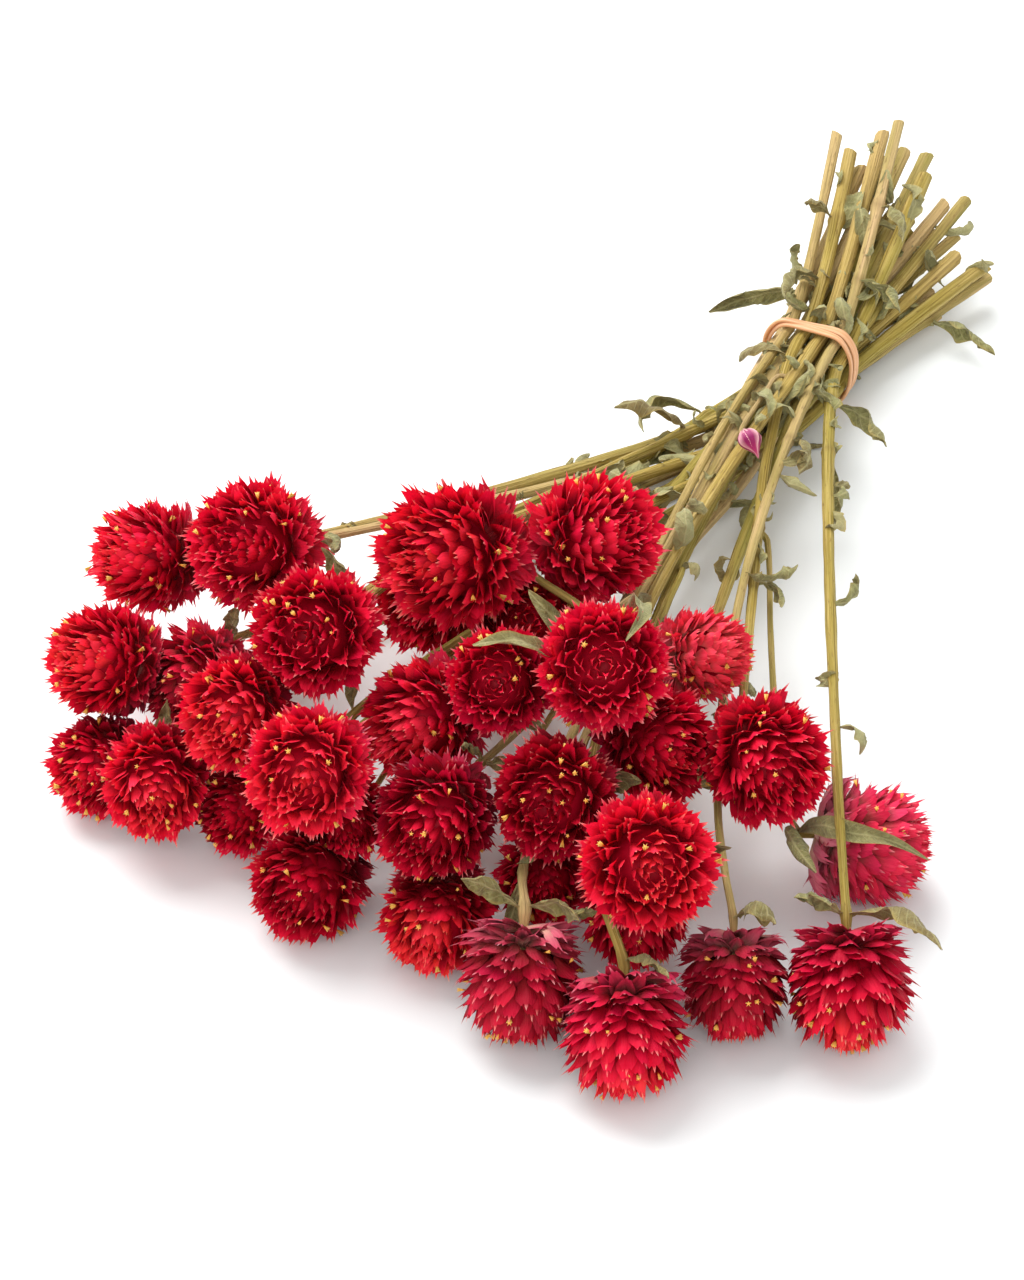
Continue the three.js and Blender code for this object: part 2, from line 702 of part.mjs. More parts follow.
// One stem with all that grows from it: a tube through its joints, where a leaf or a twig
// takes the place of one wall of the tube
function growStem(skin, stem, stems, leaves, fromLoop) {
  const { points, radii } = stem;
  const last = points.length - 1;
  const wayAt = (i) => {
    const before = points[Math.max(0, i - 1)];
    return points[Math.min(last, i + 1)].clone().sub(before).normalize();
  };
  const start = sideways(wayAt(0));
  const first = fromLoop ? 1 : 0;
  let loop = fromLoop;
  if (fromLoop) {
    const { foot, out } = footOf(stem.parent, stem.joint, points[1], radii[0]);
    const way = points[1].clone().sub(foot).normalize().add(out).normalize();
    const next = ringAt(skin, foot, way, start, radii[0]);
    skin.zip(loop, next, way);
    loop = next;
  }
  for (let i = first; i <= last; i += 1) {
    const way = wayAt(i);
    const twigs = stems.filter((s) => s.parent === stem && s.joint === i);
    const blades = leaves.filter((leaf) => leaf.stem === stem && leaf.joint === i);
    if (twigs.length + blades.length === 0) {
      const next = ringAt(skin, points[i], way, start, radii[i]);
      if (loop) skin.bridge(loop, next);
      else skin.cap(next, true);
      loop = next;
      continue;
    }
    const low = points[i].clone().lerp(points[i - 1], 1.1 / points[i].distanceTo(points[i - 1]));
    const high = points[i].clone().lerp(points[i + 1], 1.1 / points[i].distanceTo(points[i + 1]));
    const lowLoop = ringAt(skin, low, way, start, radii[i] * 1.08);
    const highLoop = ringAt(skin, high, way, start, radii[i] * 1.08);
    skin.bridge(loop, lowLoop);
    const taken = [];
    const wallFor = (out) => {
      const wall = facingWall(start, way, out, taken);
      const next = (wall + 1) % STEM_SIDES;
      taken.push(wall);
      return [lowLoop[wall], lowLoop[next], highLoop[next], highLoop[wall]];
    };
    twigs.forEach((twig) => {
      const { out } = footOf(stem, twig.joint, twig.points[1], twig.radii[0]);
      growStem(skin, twig, stems, leaves, wallFor(out));
    });
    blades.forEach((leaf) => growLeaf(skin, wallFor(leaf.way), leaf));
    skin.bridge(lowLoop, highLoop, taken);
    loop = highLoop;
  }
  skin.cap(loop, false);
}

// The rubber band: two turns side by side that hug the stack of stems, flat where they lie down
function bandSkin(slots) {
  const skin = new Skin();
  const steps = 26;
  const middle = new Vector3(BAND_AT.x, BAND_AT.y, 11);
  const reachAt = (turn, off) => {
    let reach = 99;
    for (let k = 0; k < 48; k += 1) {
      const side = (k * Math.PI) / 24;
      const lean = Math.cos(turn - side);
      if (lean <= 0.05) continue;
      const hull = Math.max(...slots.map(({ at }) => (
        (at.x - middle.x) * Math.cos(side) + (at.z - middle.z) * Math.sin(side))));
      reach = Math.min(reach, (hull + TIE_RADIUS + 0.35 + off) / lean);
    }
    return reach;
  };
  const loops = [];
  for (let k = 0; k < steps; k += 1) {
    const turn = ((k + 0.5) * 2 * Math.PI) / steps;
    const sway = 0.9 * Math.sin(turn + 0.6);
    const w = BAND_WIDTH / 2;
    const groove = 0.5 * w * Math.sin(turn);
    const section = [[-w, 0.1], [-w * 0.85, 1], [groove - w * 0.2, 1], [groove, 0.5],
      [groove + w * 0.2, 1], [w * 0.85, 1], [w, 0.1]];
    loops.push(skin.loop(section.map(([y, high]) => {
      const far = reachAt(turn, BAND_THICK * high);
      const z = Math.max(0, middle.z + far * Math.sin(turn));
      return new Vector3(middle.x + far * Math.cos(turn), middle.y + y + sway, z);
    })));
  }
  loops.forEach((loop, k) => skin.bridge(loop, loops[(k + 1) % steps]));
  return skin;
}

function bractMaterial() {
  return new MeshStandardMaterial({ name: 'bracts', color: 0xb4142c, roughness: 0.8 });
}

function budMaterial() {
  return new MeshStandardMaterial({ name: 'bud', color: 0xa83a6e, roughness: 0.75 });
}

function stemMaterial() {
  return new MeshStandardMaterial({ name: 'stem', color: 0x9a8c4e, roughness: 0.85 });
}

function rubberMaterial() {
  return new MeshStandardMaterial({ name: 'rubber', color: 0xdda06a, roughness: 0.6 });
}

// Larger heads show more bracts
function flowerHead(head, heads, stems) {
  const around = head.radius < 12.6 ? 8 : 9;
  const skin = headSkin(head, limitsAround(head, heads, stems), around, around + 1);
  return skin.toMesh(`flower_head_${head.name}`, bractMaterial());
}

function unopenedBud(bud, heads, stems) {
  return headSkin(bud, limitsAround(bud, heads, stems), 5, 4).toMesh('unopened_bud', budMaterial());
}

function leafyStem(stem, stems, leaves) {
  const skin = new Skin();
  growStem(skin, stem, stems, leaves, null);
  return skin.toMesh(`leafy_stem_${stem.head.name}`, stemMaterial());
}

const heads = readHeads();
const stems = layOutStems(heads);
settle(stems, heads, 400);
const placed = [];
const leaves = LEAVES.map((row) => fitLeaf(row, stems, Object.values(heads), placed));

const bunch = new Group();
bunch.name = 'globe_amaranth_bunch';
Object.values(heads).forEach((head) => {
  const make = head.name === 'bud' ? unopenedBud : flowerHead;
  bunch.add(make(head, heads, stems));
});
stems.filter((stem) => !stem.parent).forEach((stem) => {
  bunch.add(leafyStem(stem, stems, leaves));
});
bunch.add(bandSkin(stackSlots()).toMesh('rubber_band', rubberMaterial()));

// The origin is on the table, under the middle of the bunch
const size = new THREE.Box3().setFromObject(bunch);
const middle = size.getCenter(new Vector3());
bunch.children.forEach((mesh) => mesh.geometry.translate(-middle.x, -middle.y, -size.min.z));

export default bunch;
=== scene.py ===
import json
import math
from types import SimpleNamespace as Form

import bpy
import numpy as np
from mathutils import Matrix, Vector

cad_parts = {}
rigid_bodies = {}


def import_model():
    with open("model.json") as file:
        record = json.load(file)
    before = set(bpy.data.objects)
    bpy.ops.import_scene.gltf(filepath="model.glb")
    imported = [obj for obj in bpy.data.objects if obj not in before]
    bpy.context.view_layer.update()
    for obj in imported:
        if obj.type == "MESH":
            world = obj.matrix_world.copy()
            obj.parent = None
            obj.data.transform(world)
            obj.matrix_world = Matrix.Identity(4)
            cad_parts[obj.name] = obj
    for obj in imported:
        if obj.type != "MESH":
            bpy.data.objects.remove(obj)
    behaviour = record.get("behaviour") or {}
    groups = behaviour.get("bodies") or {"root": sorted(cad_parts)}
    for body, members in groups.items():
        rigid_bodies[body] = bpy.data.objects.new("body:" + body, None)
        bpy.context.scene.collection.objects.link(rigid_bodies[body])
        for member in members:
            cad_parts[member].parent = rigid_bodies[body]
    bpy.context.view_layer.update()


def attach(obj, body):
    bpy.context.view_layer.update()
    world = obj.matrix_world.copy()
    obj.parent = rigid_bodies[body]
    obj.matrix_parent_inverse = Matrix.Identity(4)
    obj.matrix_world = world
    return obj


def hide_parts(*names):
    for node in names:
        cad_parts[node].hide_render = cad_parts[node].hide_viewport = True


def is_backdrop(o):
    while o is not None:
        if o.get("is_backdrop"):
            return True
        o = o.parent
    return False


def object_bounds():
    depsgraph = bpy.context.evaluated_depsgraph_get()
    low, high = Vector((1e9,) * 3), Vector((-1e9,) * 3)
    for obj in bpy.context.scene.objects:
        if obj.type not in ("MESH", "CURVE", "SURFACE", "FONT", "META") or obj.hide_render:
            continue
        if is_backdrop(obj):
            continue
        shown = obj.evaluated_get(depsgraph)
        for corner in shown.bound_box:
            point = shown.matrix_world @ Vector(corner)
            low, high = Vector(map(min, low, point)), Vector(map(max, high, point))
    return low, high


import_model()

# ---------------------------------------------------------------------------
# The leafy stems
# Ribbed stems of dried globe amaranth, picked one by one, stacked in the tie and cut off
# bluntly. Each bends round its neighbours to its head. The leaves shrivelled as they dried:
# thin, rolled at the margins, and rough with raised veins.
# ---------------------------------------------------------------------------
# What each stem has to reach, in millimetres and degrees: x, y, z of the middle of its head,
# the radius to the bract tips, then bearing and rise of the way the head faces
HEADS = {
    "outer_left_back": [-75, -40, 30, 13, -125, 25],
    "left_back": [-49, -37, 40, 15, -95, 35],
    "left_top": [-18, -68, 48, 14.5, -80, 35],
    "outer_left": [-67, -77, 30, 13, -115, 35],
    "left_inner": [-50, -67, 22, 12, -95, 0],
    "left_middle": [-29, -86, 34, 13, -85, 20],
    "outer_left_low": [-62, -91, 10.7, 11.5, -95, 10],
    "left_low": [-43, -98, 18, 12.5, -65, 10],
    "left_front": [-2, -105, 42, 14, -75, 25],
    "left_tucked": [-26, -91, 11.5, 10.5, -100, 15],
    "left_front_under": [3, -97, 24, 10, -60, 5],
    "left_front_low": [-1, -108, 12.5, 13.2, -85, 10],
    "back_top": [-1, -34, 50, 16.6, -105, 25],
    "back_right": [26, -9, 46, 15, -20, 40],
    "back_under": [-13, -17, 21, 13, -85, 15],
    "middle_tucked": [14, -24, 27, 12.5, -55, 50],
    "middle_top": [25, -63, 45, 12, -75, 35],
    "crown": [49, -61, 56, 14.5, -65, 40],
    "right_back": [60, -27, 37, 10.5, 0, 25],
    "right_middle": [60, -54, 31, 13.2, -35, 15],
    "middle": [7, -66, 29, 14, -100, 15],
    "middle_front": [25, -98, 32, 13.4, -85, 10],
    "centre_dark": [48, -86, 37, 13.4, -80, 25],
    "front_top": [77, -101, 41, 14.7, -60, 30],
    "front_under": [70, -91, 15, 12, -65, -15],
    "front_left_low": [29, -106, 11.5, 12.4, -80, 0],
    "front_nodding": [55, -119, 13, 13.8, -70, -45],
    "front_low": [82, -125, 13, 13.8, -65, -35],
    "right_top": [85, -53, 34, 14, -50, 10],
    "outer_right": [108, -46, 13, 13.9, 15, -5],
    "front_right_slim": [97, -100, 12, 12.3, -65, -40],
    "front_right": [120, -92, 13, 13.9, -65, -35],
    "centre_under": [46, -86, 13, 10.5, -60, 15],
    "bud": [36, 58, 29, 4.2, -50, 15],
}

# Own head, then the side head and the joint that its twig leaves from, lowest layer first
STEMS = [
    ["outer_left_back"], ["left_back"], ["outer_left", "left_inner", 10],
    ["outer_left_low", "left_low", 10], ["back_under"], ["left_middle"], ["left_tucked"],
    ["left_top"], ["left_front", "left_front_low", 10], ["middle", "left_front_under", 10],
    ["middle_front", "front_left_low", 10], ["middle_top", "middle_tucked", 8],
    ["back_right"], ["centre_dark", "centre_under", 10], ["front_nodding"],
    ["right_middle", "right_back", 9], ["front_top", "front_under", 10], ["front_right"],
    ["crown", "back_top", 11], ["right_top", "outer_right", 8], ["front_low", "bud", 5],
    ["front_right_slim"],
]
GAP = 0.4
TIE = np.array([29.0, 116.0, 0.0])
TIE_HEIGHT = 11
TIE_ROWS = [4, 5, 4, 5, 4]
STEM_PITCH, ROW_NESTING, LOWEST_STEM = 4.3, 0.87, 3.38
TIE_SLOTS = [
    (row, i - (count - 1) / 2, LOWEST_STEM + row * STEM_PITCH * ROW_NESTING)
    for row, count in enumerate(TIE_ROWS) for i in range(count)
]
CUT_RADIUS, TIE_RADIUS, NECK_RADIUS, TWIG_RADIUS, BUD_TWIG_RADIUS = 1.95, 1.75, 1.1, 1.0, 0.8
CUT_ENDS = [[47, 164, 7], [44, 172, 14], [37, 177, 22], [28, 178, 29], [18, 180, 36]]
CUT_SPACING = 4.8
CUT_UNEVENNESS = np.array([3, 16, 7])
STEM_JOINTS, TWIG_JOINTS = 15, 6
BESIDE_TIE = np.array([0, 4, 0])
NECK_LENGTH, NECK_DEPTH = 3, 1.4
FORK_SPREAD, FORK_LIFT = 0.7, 1.6
BARK = 1.08
BASE_DEPTH = 0.98
SETTLING_ROUNDS, SPRINGINESS, LOOK_ROUND = 400, 0.3, 60
BUNCH_MIDDLE = np.array([25.511680603027344, 23.854141235351562, 0.0])


def size_of(v):
    return np.linalg.norm(v, axis=-1)


def unit(v):
    return v / np.maximum(size_of(v)[..., None], 1e-12)


def dot(a, b):
    return np.sum(a * b, axis=-1)


def facing(bearing, rise):
    b, e = math.radians(bearing), math.radians(rise)
    return np.array([math.cos(b) * math.cos(e), math.sin(b) * math.cos(e), math.sin(e)])


def head_profile(lean):
    """A head is a dome on a short barrel: its reach, in radii, by the lean towards its axis."""
    lean = np.asarray(lean, float)
    across = np.sqrt(np.clip(1 - lean * lean, 0, 1))
    back = np.clip(-lean, 0, 1) / BASE_DEPTH
    barrel = np.maximum(across**5 + back**5, 1e-9) ** -0.2
    return np.where(lean >= 0, 1.0, barrel)


def bowed(t, span, start, start_way, end, end_way):
    """The smooth curve between two places, given its way at both."""
    return ((2 * t**3 - 3 * t**2 + 1) * start + (t**3 - 2 * t**2 + t) * span * start_way
            + (3 * t**2 - 2 * t**3) * end + (t**3 - t**2) * span * end_way)


def sweep(start, start_way, end, end_way, count):
    span = np.linalg.norm(end - start)
    return bowed(np.linspace(0, 1, count)[:, None], span, start, start_way, end, end_way)


def neck_of(head):
    outside = head.centre - head.axis * (head.radius + NECK_LENGTH)
    inside = head.centre - head.axis * (0.8 * head.radius + NECK_DEPTH)
    return outside, inside


def foot_of(parent, joint, towards, radius):
    """A twig stands beside its stem where it forks off."""
    at = parent.points[joint]
    along = unit(parent.points[joint + 1] - parent.points[joint - 1])
    out = towards - at
    out = unit(out - dot(out, along) * along)
    foot = at + out * (BARK * parent.radii[joint] + radius + FORK_SPREAD)
    return foot + along * FORK_LIFT, out, along


def lay_out_stems():
    state = 7
    stems = []
    for (own, *fork), (row, across, height) in zip(STEMS, TIE_SLOTS):
        draws = []
        for _ in range(3):
            state = (state * 1664525 + 1013904223) % 4294967296
            draws.append(state / 4294967296 - 0.5)
        at = np.array([TIE[0] + across * STEM_PITCH, TIE[1], height])
        cut = np.array(CUT_ENDS[row], float) + [across * CUT_SPACING, 0, 0]
        cut += CUT_UNEVENNESS * draws
        neck, end = neck_of(heads[own])
        behind, ahead = at + BESIDE_TIE, at - BESIDE_TIE
        to_cut = unit(cut - behind)
        tail = sweep(cut, -to_cut, behind, -to_cut, 4)
        arm = sweep(ahead, unit(neck - ahead), neck, heads[own].axis * 0.6, 10)
        joint = np.arange(STEM_JOINTS)
        radii = TIE_RADIUS + (NECK_RADIUS - TIE_RADIUS) * np.clip((joint - 4) / 10 * 1.25, 0, 1)
        radii[:4] = CUT_RADIUS + (TIE_RADIUS - CUT_RADIUS) * joint[:4] / 3
        stem = Form(name=own, points=np.vstack([tail, arm, end]), radii=radii, parent=None,
                    joint=0, fixed=np.isin(joint, [3, 4, 13, 14]))
        stems.append(stem)
        if fork:
            side, joint = fork
            neck, end = neck_of(heads[side])
            thin = BUD_TWIG_RADIUS if side == "bud" else TWIG_RADIUS
            foot, out, along = foot_of(stem, joint, neck, thin)
            way = unit(unit(neck - foot) + along + out)
            points = np.vstack([sweep(foot, way, neck, heads[side].axis, 5), end])
            stems.append(Form(name=side, points=points, radii=np.full(TWIG_JOINTS, thin),
                              parent=stem, joint=joint,
                              fixed=np.isin(np.arange(TWIG_JOINTS), [4, 5])))
    return stems


def nearest_places(a0, a1, b0, b1):
    """How far along two straight pieces the places are where they come closest."""
    u, v, w = a1 - a0, b1 - b0, a0 - b0
    a, b, c, d, e = dot(u, u), dot(u, v), dot(v, v), dot(u, w), dot(v, w)
    det = a * c - b * b
    s = np.where(det > 1e-9, np.clip((b * e - c * d) / np.where(det > 1e-9, det, 1), 0, 1), 0.5)
    t = np.clip((b * s + e) / c, 0, 1)
    return np.clip((b * t - d) / a, 0, 1), t


def halfway(v):
    """What lies half way between the neighbours of each joint."""
    between = np.zeros_like(v)
    between[1:-1] = (v[:-2] + v[2:]) / 2
    return between


def settle(rounds):
    """Stems bend away from each other, from the heads and from the table until all are clear."""
    ends = np.cumsum([0] + [len(s.points) for s in stems])
    joints = np.concatenate([s.points for s in stems])
    radii = np.concatenate([s.radii for s in stems])
    free = ~np.concatenate([s.fixed for s in stems])
    inner = np.ones(len(joints), bool)
    inner[ends[:-1]] = inner[ends[1:] - 1] = False
    for stem, a, b in zip(stems, ends, ends[1:]):
        stem.points = joints[a:b]
    low = np.delete(np.arange(len(joints)), ends[1:] - 1)
    owner = np.repeat(np.arange(len(stems)), np.diff(ends) - 1)
    last = low == ends[owner + 1] - 2
    one, two = np.triu_indices(len(low), 1)
    keep = owner[one] != owner[two]
    one, two = one[keep], two[keep]
    centres = np.array([h.centre for h in heads.values()])
    axes = np.array([h.axis for h in heads.values()])
    sizes = np.array([h.radius for h in heads.values()])
    own = np.array([list(heads).index(s.name) for s in stems])[owner]
    other_head = ~(last[:, None] & (own[:, None] == np.arange(len(heads))))
    for step in range(rounds):
        push = np.zeros((len(joints), 3))
        count = np.zeros(len(joints))

        def shove(piece, share, move):
            both = share * share + (1 - share) * (1 - share)
            for end, part in ((low[piece], 1 - share), (low[piece] + 1, share)):
                np.add.at(push, end, move * (part / both)[:, None])
                np.add.at(count, end, part)

        near = np.sum((joints[low[one]] - joints[low[two]]) ** 2, axis=1) <= LOOK_ROUND**2
        p, q = one[near], two[near]
        a0, a1, b0, b1 = joints[low[p]], joints[low[p] + 1], joints[low[q]], joints[low[q] + 1]
        s, t = nearest_places(a0, a1, b0, b1)
        apart = a0 + (a1 - a0) * s[:, None] - b0 - (b1 - b0) * t[:, None]
        thick = radii[low[p]] * (1 - s) + radii[low[p] + 1] * s
        thick = thick + radii[low[q]] * (1 - t) + radii[low[q] + 1] * t
        lack = thick + GAP + 0.1 - size_of(apart)
        hit = lack > 0
        move = unit(apart[hit]) * (lack[hit] / 2)[:, None]
        shove(p[hit], s[hit], move)
        shove(q[hit], t[hit], -move)

        a, way = joints[low], joints[low + 1] - joints[low]
        s = np.einsum("hpk,pk->ph", centres[:, None] - a[None], way) / dot(way, way)[:, None]
        s = np.clip(s, 0, 1)
        apart = a[:, None] + way[:, None] * s[..., None] - centres[None]
        out = unit(apart)
        reach = sizes[None] * head_profile(np.einsum("phk,hk->ph", out, axes))
        thick = radii[low][:, None] * (1 - s) + radii[low + 1][:, None] * s
        lack = 0.9 * reach + thick + GAP - size_of(apart)
        piece, head = np.nonzero((lack > 0) & other_head)
        shove(piece, s[piece, head], out[piece, head] * lack[piece, head][:, None])

        bow = np.where(inner[:, None], halfway(joints) - joints, 0)
        spring = SPRINGINESS if step < rounds * 0.6 else 0
        move = push / np.maximum(1, count)[:, None]
        move += np.where(inner[:, None], (bow - halfway(bow)) * spring, 0)
        joints[free] += move[free]
        joints[free, 2] = np.maximum(joints[free, 2], radii[free] + 0.3)
        for stem in stems:
            if stem.parent:
                stem.points[0] = foot_of(
                    stem.parent, stem.joint, stem.points[1], stem.radii[0])[0]


heads = {
    name: Form(name=name, centre=np.array([x, y, z], float), radius=r, axis=facing(b, e))
    for name, (x, y, z, r, b, e) in HEADS.items()
}
stems = lay_out_stems()
settle(SETTLING_ROUNDS)

# A leaf's stem by its head, joint, bearing, rise, length, width, bend, twist. Where it grew
# close to something, these follow: how far it turned about its stem, how much it leaned, and
# how many steps shorter it stayed
LEAVES = [
    ["back_under", 6, -156, 25, 27, 6, 150, 40, 0, -0.35, 0],
    ["left_middle", 6, -140, 15, 24, 7, 60, -30, -50, -0.35, 0],
    ["right_top", 2, -160, 0, 22, 7, 110, 40, -50, 0, 0],
    ["centre_dark", 2, 170, -15, 24, 8, 90, 60],
    ["right_top", 1, 175, 10, 12, 5, 90, 0, -50, 0, 0],
    ["front_right_slim", 1, -20, 10, 15, 6, 80, 30, 10, 0, 0],
    ["front_right_slim", 2, -15, 15, 18, 7, 60, -40],
    ["outer_left_low", 1, 20, 5, 20, 7, 60, 30],
    ["front_right", 5, 5, -10, 18, 7, 70, 30],
    ["front_right", 6, -50, -40, 18, 6, 40, 60],
    ["front_right_slim", 6, -20, 20, 16, 6, 110, 30],
    ["right_top", 9, -10, 10, 13, 5, 80, 0],
    ["crown", 13, -160, 15, 25, 8, -30, 20, -30, 0, 1],
    ["crown", 12, -40, 50, 17, 7, 60, 20, -40, -0.35, 1],
    ["right_middle", 13, 10, 30, 24, 6, -110, 20, 100, 0, 0],
    ["right_back", 4, 100, 20, 12, 5, 40, 0, 20, 0, 2],
    ["left_back", 12, -30, 30, 17, 7, 80, 30, 0, -0.35, 0],
    ["left_top", 12, 120, 30, 14, 6, 60, 30],
    ["left_top", 13, -30, -20, 18, 7, 60, 30, -20, -0.35, 0],
    ["left_inner", 4, 60, 40, 14, 6, 50, 0, 0, 0.35, 0],
    ["centre_dark", 13, 20, 15, 17, 8, 50, 10],
    ["front_top", 13, 20, 5, 18, 8, 40, 20, 0, -0.35, 0],
    ["front_nodding", 13, 170, 30, 15, 6, 60, 30],
    ["front_nodding", 13, -10, 20, 16, 6, 70, -30, 0, -0.35, 0],
    ["front_nodding", 12, -165, -30, 20, 4, 40, 20, 50, 0, 0],
    ["front_low", 12, 170, 0, 14, 6, 60, 20, 0, 0, 4],
    ["front_low", 13, -10, 0, 16, 6, 60, -20, 40, -0.35, 0],
    ["front_right_slim", 13, 0, 45, 14, 9, 110, 20, 0, -0.35, 0],
    ["front_right", 13, 170, 40, 15, 6, 80, 40],
    ["front_right", 13, -5, 20, 26, 8, 80, 20, 0, -0.35, 0],
    ["outer_right", 4, -60, 70, 27, 7, 105, 0, 30, 0, 0],
    ["right_top", 12, -15, 10, 16, 4, 40, 20, 0, -0.35, 0],
    ["left_low", 4, 90, 20, 11, 5, 60, 0],
    ["middle_front", 12, 180, 20, 12, 5, 60, 20, -60, 0.35, 0],
    ["middle_front", 12, 0, 20, 12, 5, 60, -20],
    ["back_top", 4, 20, 30, 13, 5, 60, 0],
]
LEAF_CUTS = np.array([0, 0.28, 0.56, 0.82, 1])
LEAF_SPREAD = np.array([0.22, 0.85, 1, 0.65, 0.12])
LEAF_THICKNESS, LEAF_STALK = 0.22, 0.8
LEAF_SHRINKAGE = 0.85


def turned(v, axis, angle):
    c, s = np.cos(angle), np.sin(angle)
    return v * c + np.cross(axis, v) * s + axis * (dot(axis, v)[..., None] * (1 - c))


def curled(middle, ahead, normal, length, turns, twist):
    """A leaf as cuts across its rib: the middle of each, the way across and the way up. It
    turns up before and after each step along the rib."""
    cuts = []
    for i, along in enumerate(LEAF_CUTS):
        if i:
            across = np.cross(normal, ahead)
            ahead, normal = (turned(v, across, turns[0]) for v in (ahead, normal))
            middle = middle + ahead * (along - LEAF_CUTS[i - 1]) * length
            ahead, normal = (turned(v, across, turns[1]) for v in (ahead, normal))
            normal = turned(normal, ahead, twist)
        cuts.append((middle, np.cross(normal, ahead), normal))
    return [np.array(part) for part in zip(*cuts)]


def grown_leaf(name, joint, bearing, rise, length, width, bend, twist, turn=0, lean=0, shorter=0):
    stem = next(s for s in stems if s.name == name)
    root = stem.points[joint]
    along = unit(stem.points[joint + 1] - stem.points[joint - 1])
    wish = facing(bearing, rise)
    slope = np.clip(np.clip(wish @ along, -0.5, 0.9) + lean, -0.5, 0.9)
    out = turned(unit(wish - along * (wish @ along)), along, math.radians(turn))
    way = out * math.sqrt(1 - slope * slope) + along * slope
    length = length * LEAF_SHRINKAGE**shorter
    width = width * math.sqrt(LEAF_SHRINKAGE**shorter)
    steps = len(LEAF_CUTS) - 1
    half_turn = -math.radians(bend) / steps / 2
    cuts = curled(root + out * (BARK * stem.radii[joint] + LEAF_STALK), way,
                  unit(along - way * dot(way, along)), length, (half_turn, half_turn),
                  math.radians(twist) / steps)
    return Form(stem=stem, root=root, length=length, width=width,
                cuts=cuts + [LEAF_SPREAD * width / 2])


leaves = [grown_leaf(*row) for row in LEAVES]


class Finish:
    """The nodes of one finish, or of an effect that several finishes share."""

    def __init__(self, name, tree=None):
        if tree is None:
            self.material = bpy.data.materials.new(name)
            self.material.use_nodes = True
            tree = self.material.node_tree
        self.tree = tree

    def fill(self, made, inputs):
        for socket, value in inputs.items():
            if isinstance(value, bpy.types.NodeSocket):
                self.tree.links.new(value, made.inputs[socket])
            else:
                value = (*value, 1) if isinstance(value, tuple) else value
                made.inputs[socket].default_value = value

    def node(self, kind, inputs, output=0, **settings):
        made = self.tree.nodes.new(kind)
        for key, value in settings.items():
            setattr(made, key, value)
        self.fill(made, inputs)
        return made.outputs[output]

    def stored(self, name, output="Fac"):
        return self.node("ShaderNodeAttribute", {}, output, attribute_name=name)

    def fit(self, value, low, high, to_low=0.0, to_high=1.0):
        return self.node("ShaderNodeMapRange", {
            "Value": value, "From Min": low, "From Max": high, "To Min": to_low, "To Max": to_high,
        }, "Result")

    def sums(self, operation, first, second=0.0):
        return self.node("ShaderNodeMath", {0: first, 1: second}, operation=operation)

    def times(self, first, second):
        return self.sums("MULTIPLY", first, second)

    def mix(self, share, first, second):
        return self.node("ShaderNodeMix", {0: share, 6: first, 7: second}, 2, data_type="RGBA")

    def ramp(self, share, *stops):
        made = self.tree.nodes.new("ShaderNodeValToRGB")
        self.fill(made, {"Fac": share})
        elements = made.color_ramp.elements
        while len(elements) < len(stops):
            elements.new(0.5)
        for element, (place, colour) in zip(elements, stops):
            element.position = place
            element.color = (*colour, 1)
        return made.outputs["Color"]

    def threads(self, across, along, detail=3):
        return self.node("ShaderNodeGroup", {
            "Lay": self.stored("lay", "Vector"), "Across": across, "Along": along, "Detail": detail,
        }, "Streak", node_tree=dry_fibres)

    def dress(self, inputs, height=None, distance=0.0, strength=0.0):
        """The material with its shader filled in, raised by a height where one is given."""
        if height is not None:
            inputs["Normal"] = self.node("ShaderNodeBump", {
                "Height": height, "Distance": distance, "Strength": strength}, "Normal")
        self.fill(self.tree.nodes["Principled BSDF"], inputs)
        return self.material


def dry_fibre_group():
    """Fine threads that run along a dried bract, stem or leaf."""
    tree = bpy.data.node_groups.new("dry_fibres", "ShaderNodeTree")
    tree.interface.new_socket("Lay", in_out="INPUT", socket_type="NodeSocketVector")
    for name in ("Across", "Along", "Detail"):
        tree.interface.new_socket(name, in_out="INPUT", socket_type="NodeSocketFloat")
    tree.interface.new_socket("Streak", in_out="OUTPUT", socket_type="NodeSocketFloat")
    look = Finish("dry_fibres", tree)
    given = tree.nodes.new("NodeGroupInput").outputs
    scale = look.node("ShaderNodeCombineXYZ", {
        0: given["Across"], 1: given["Along"], 2: given["Across"]})
    stretched = look.node("ShaderNodeVectorMath", {0: given["Lay"], 1: scale}, operation="MULTIPLY")
    noise = look.node("ShaderNodeTexNoise", {
        "Vector": stretched, "Scale": 1, "Detail": given["Detail"], "Roughness": 0.6}, "Fac")
    look.fill(tree.nodes.new("NodeGroupOutput"), {"Streak": look.fit(noise, 0.3, 0.7)})
    return tree


dry_fibres = dry_fibre_group()


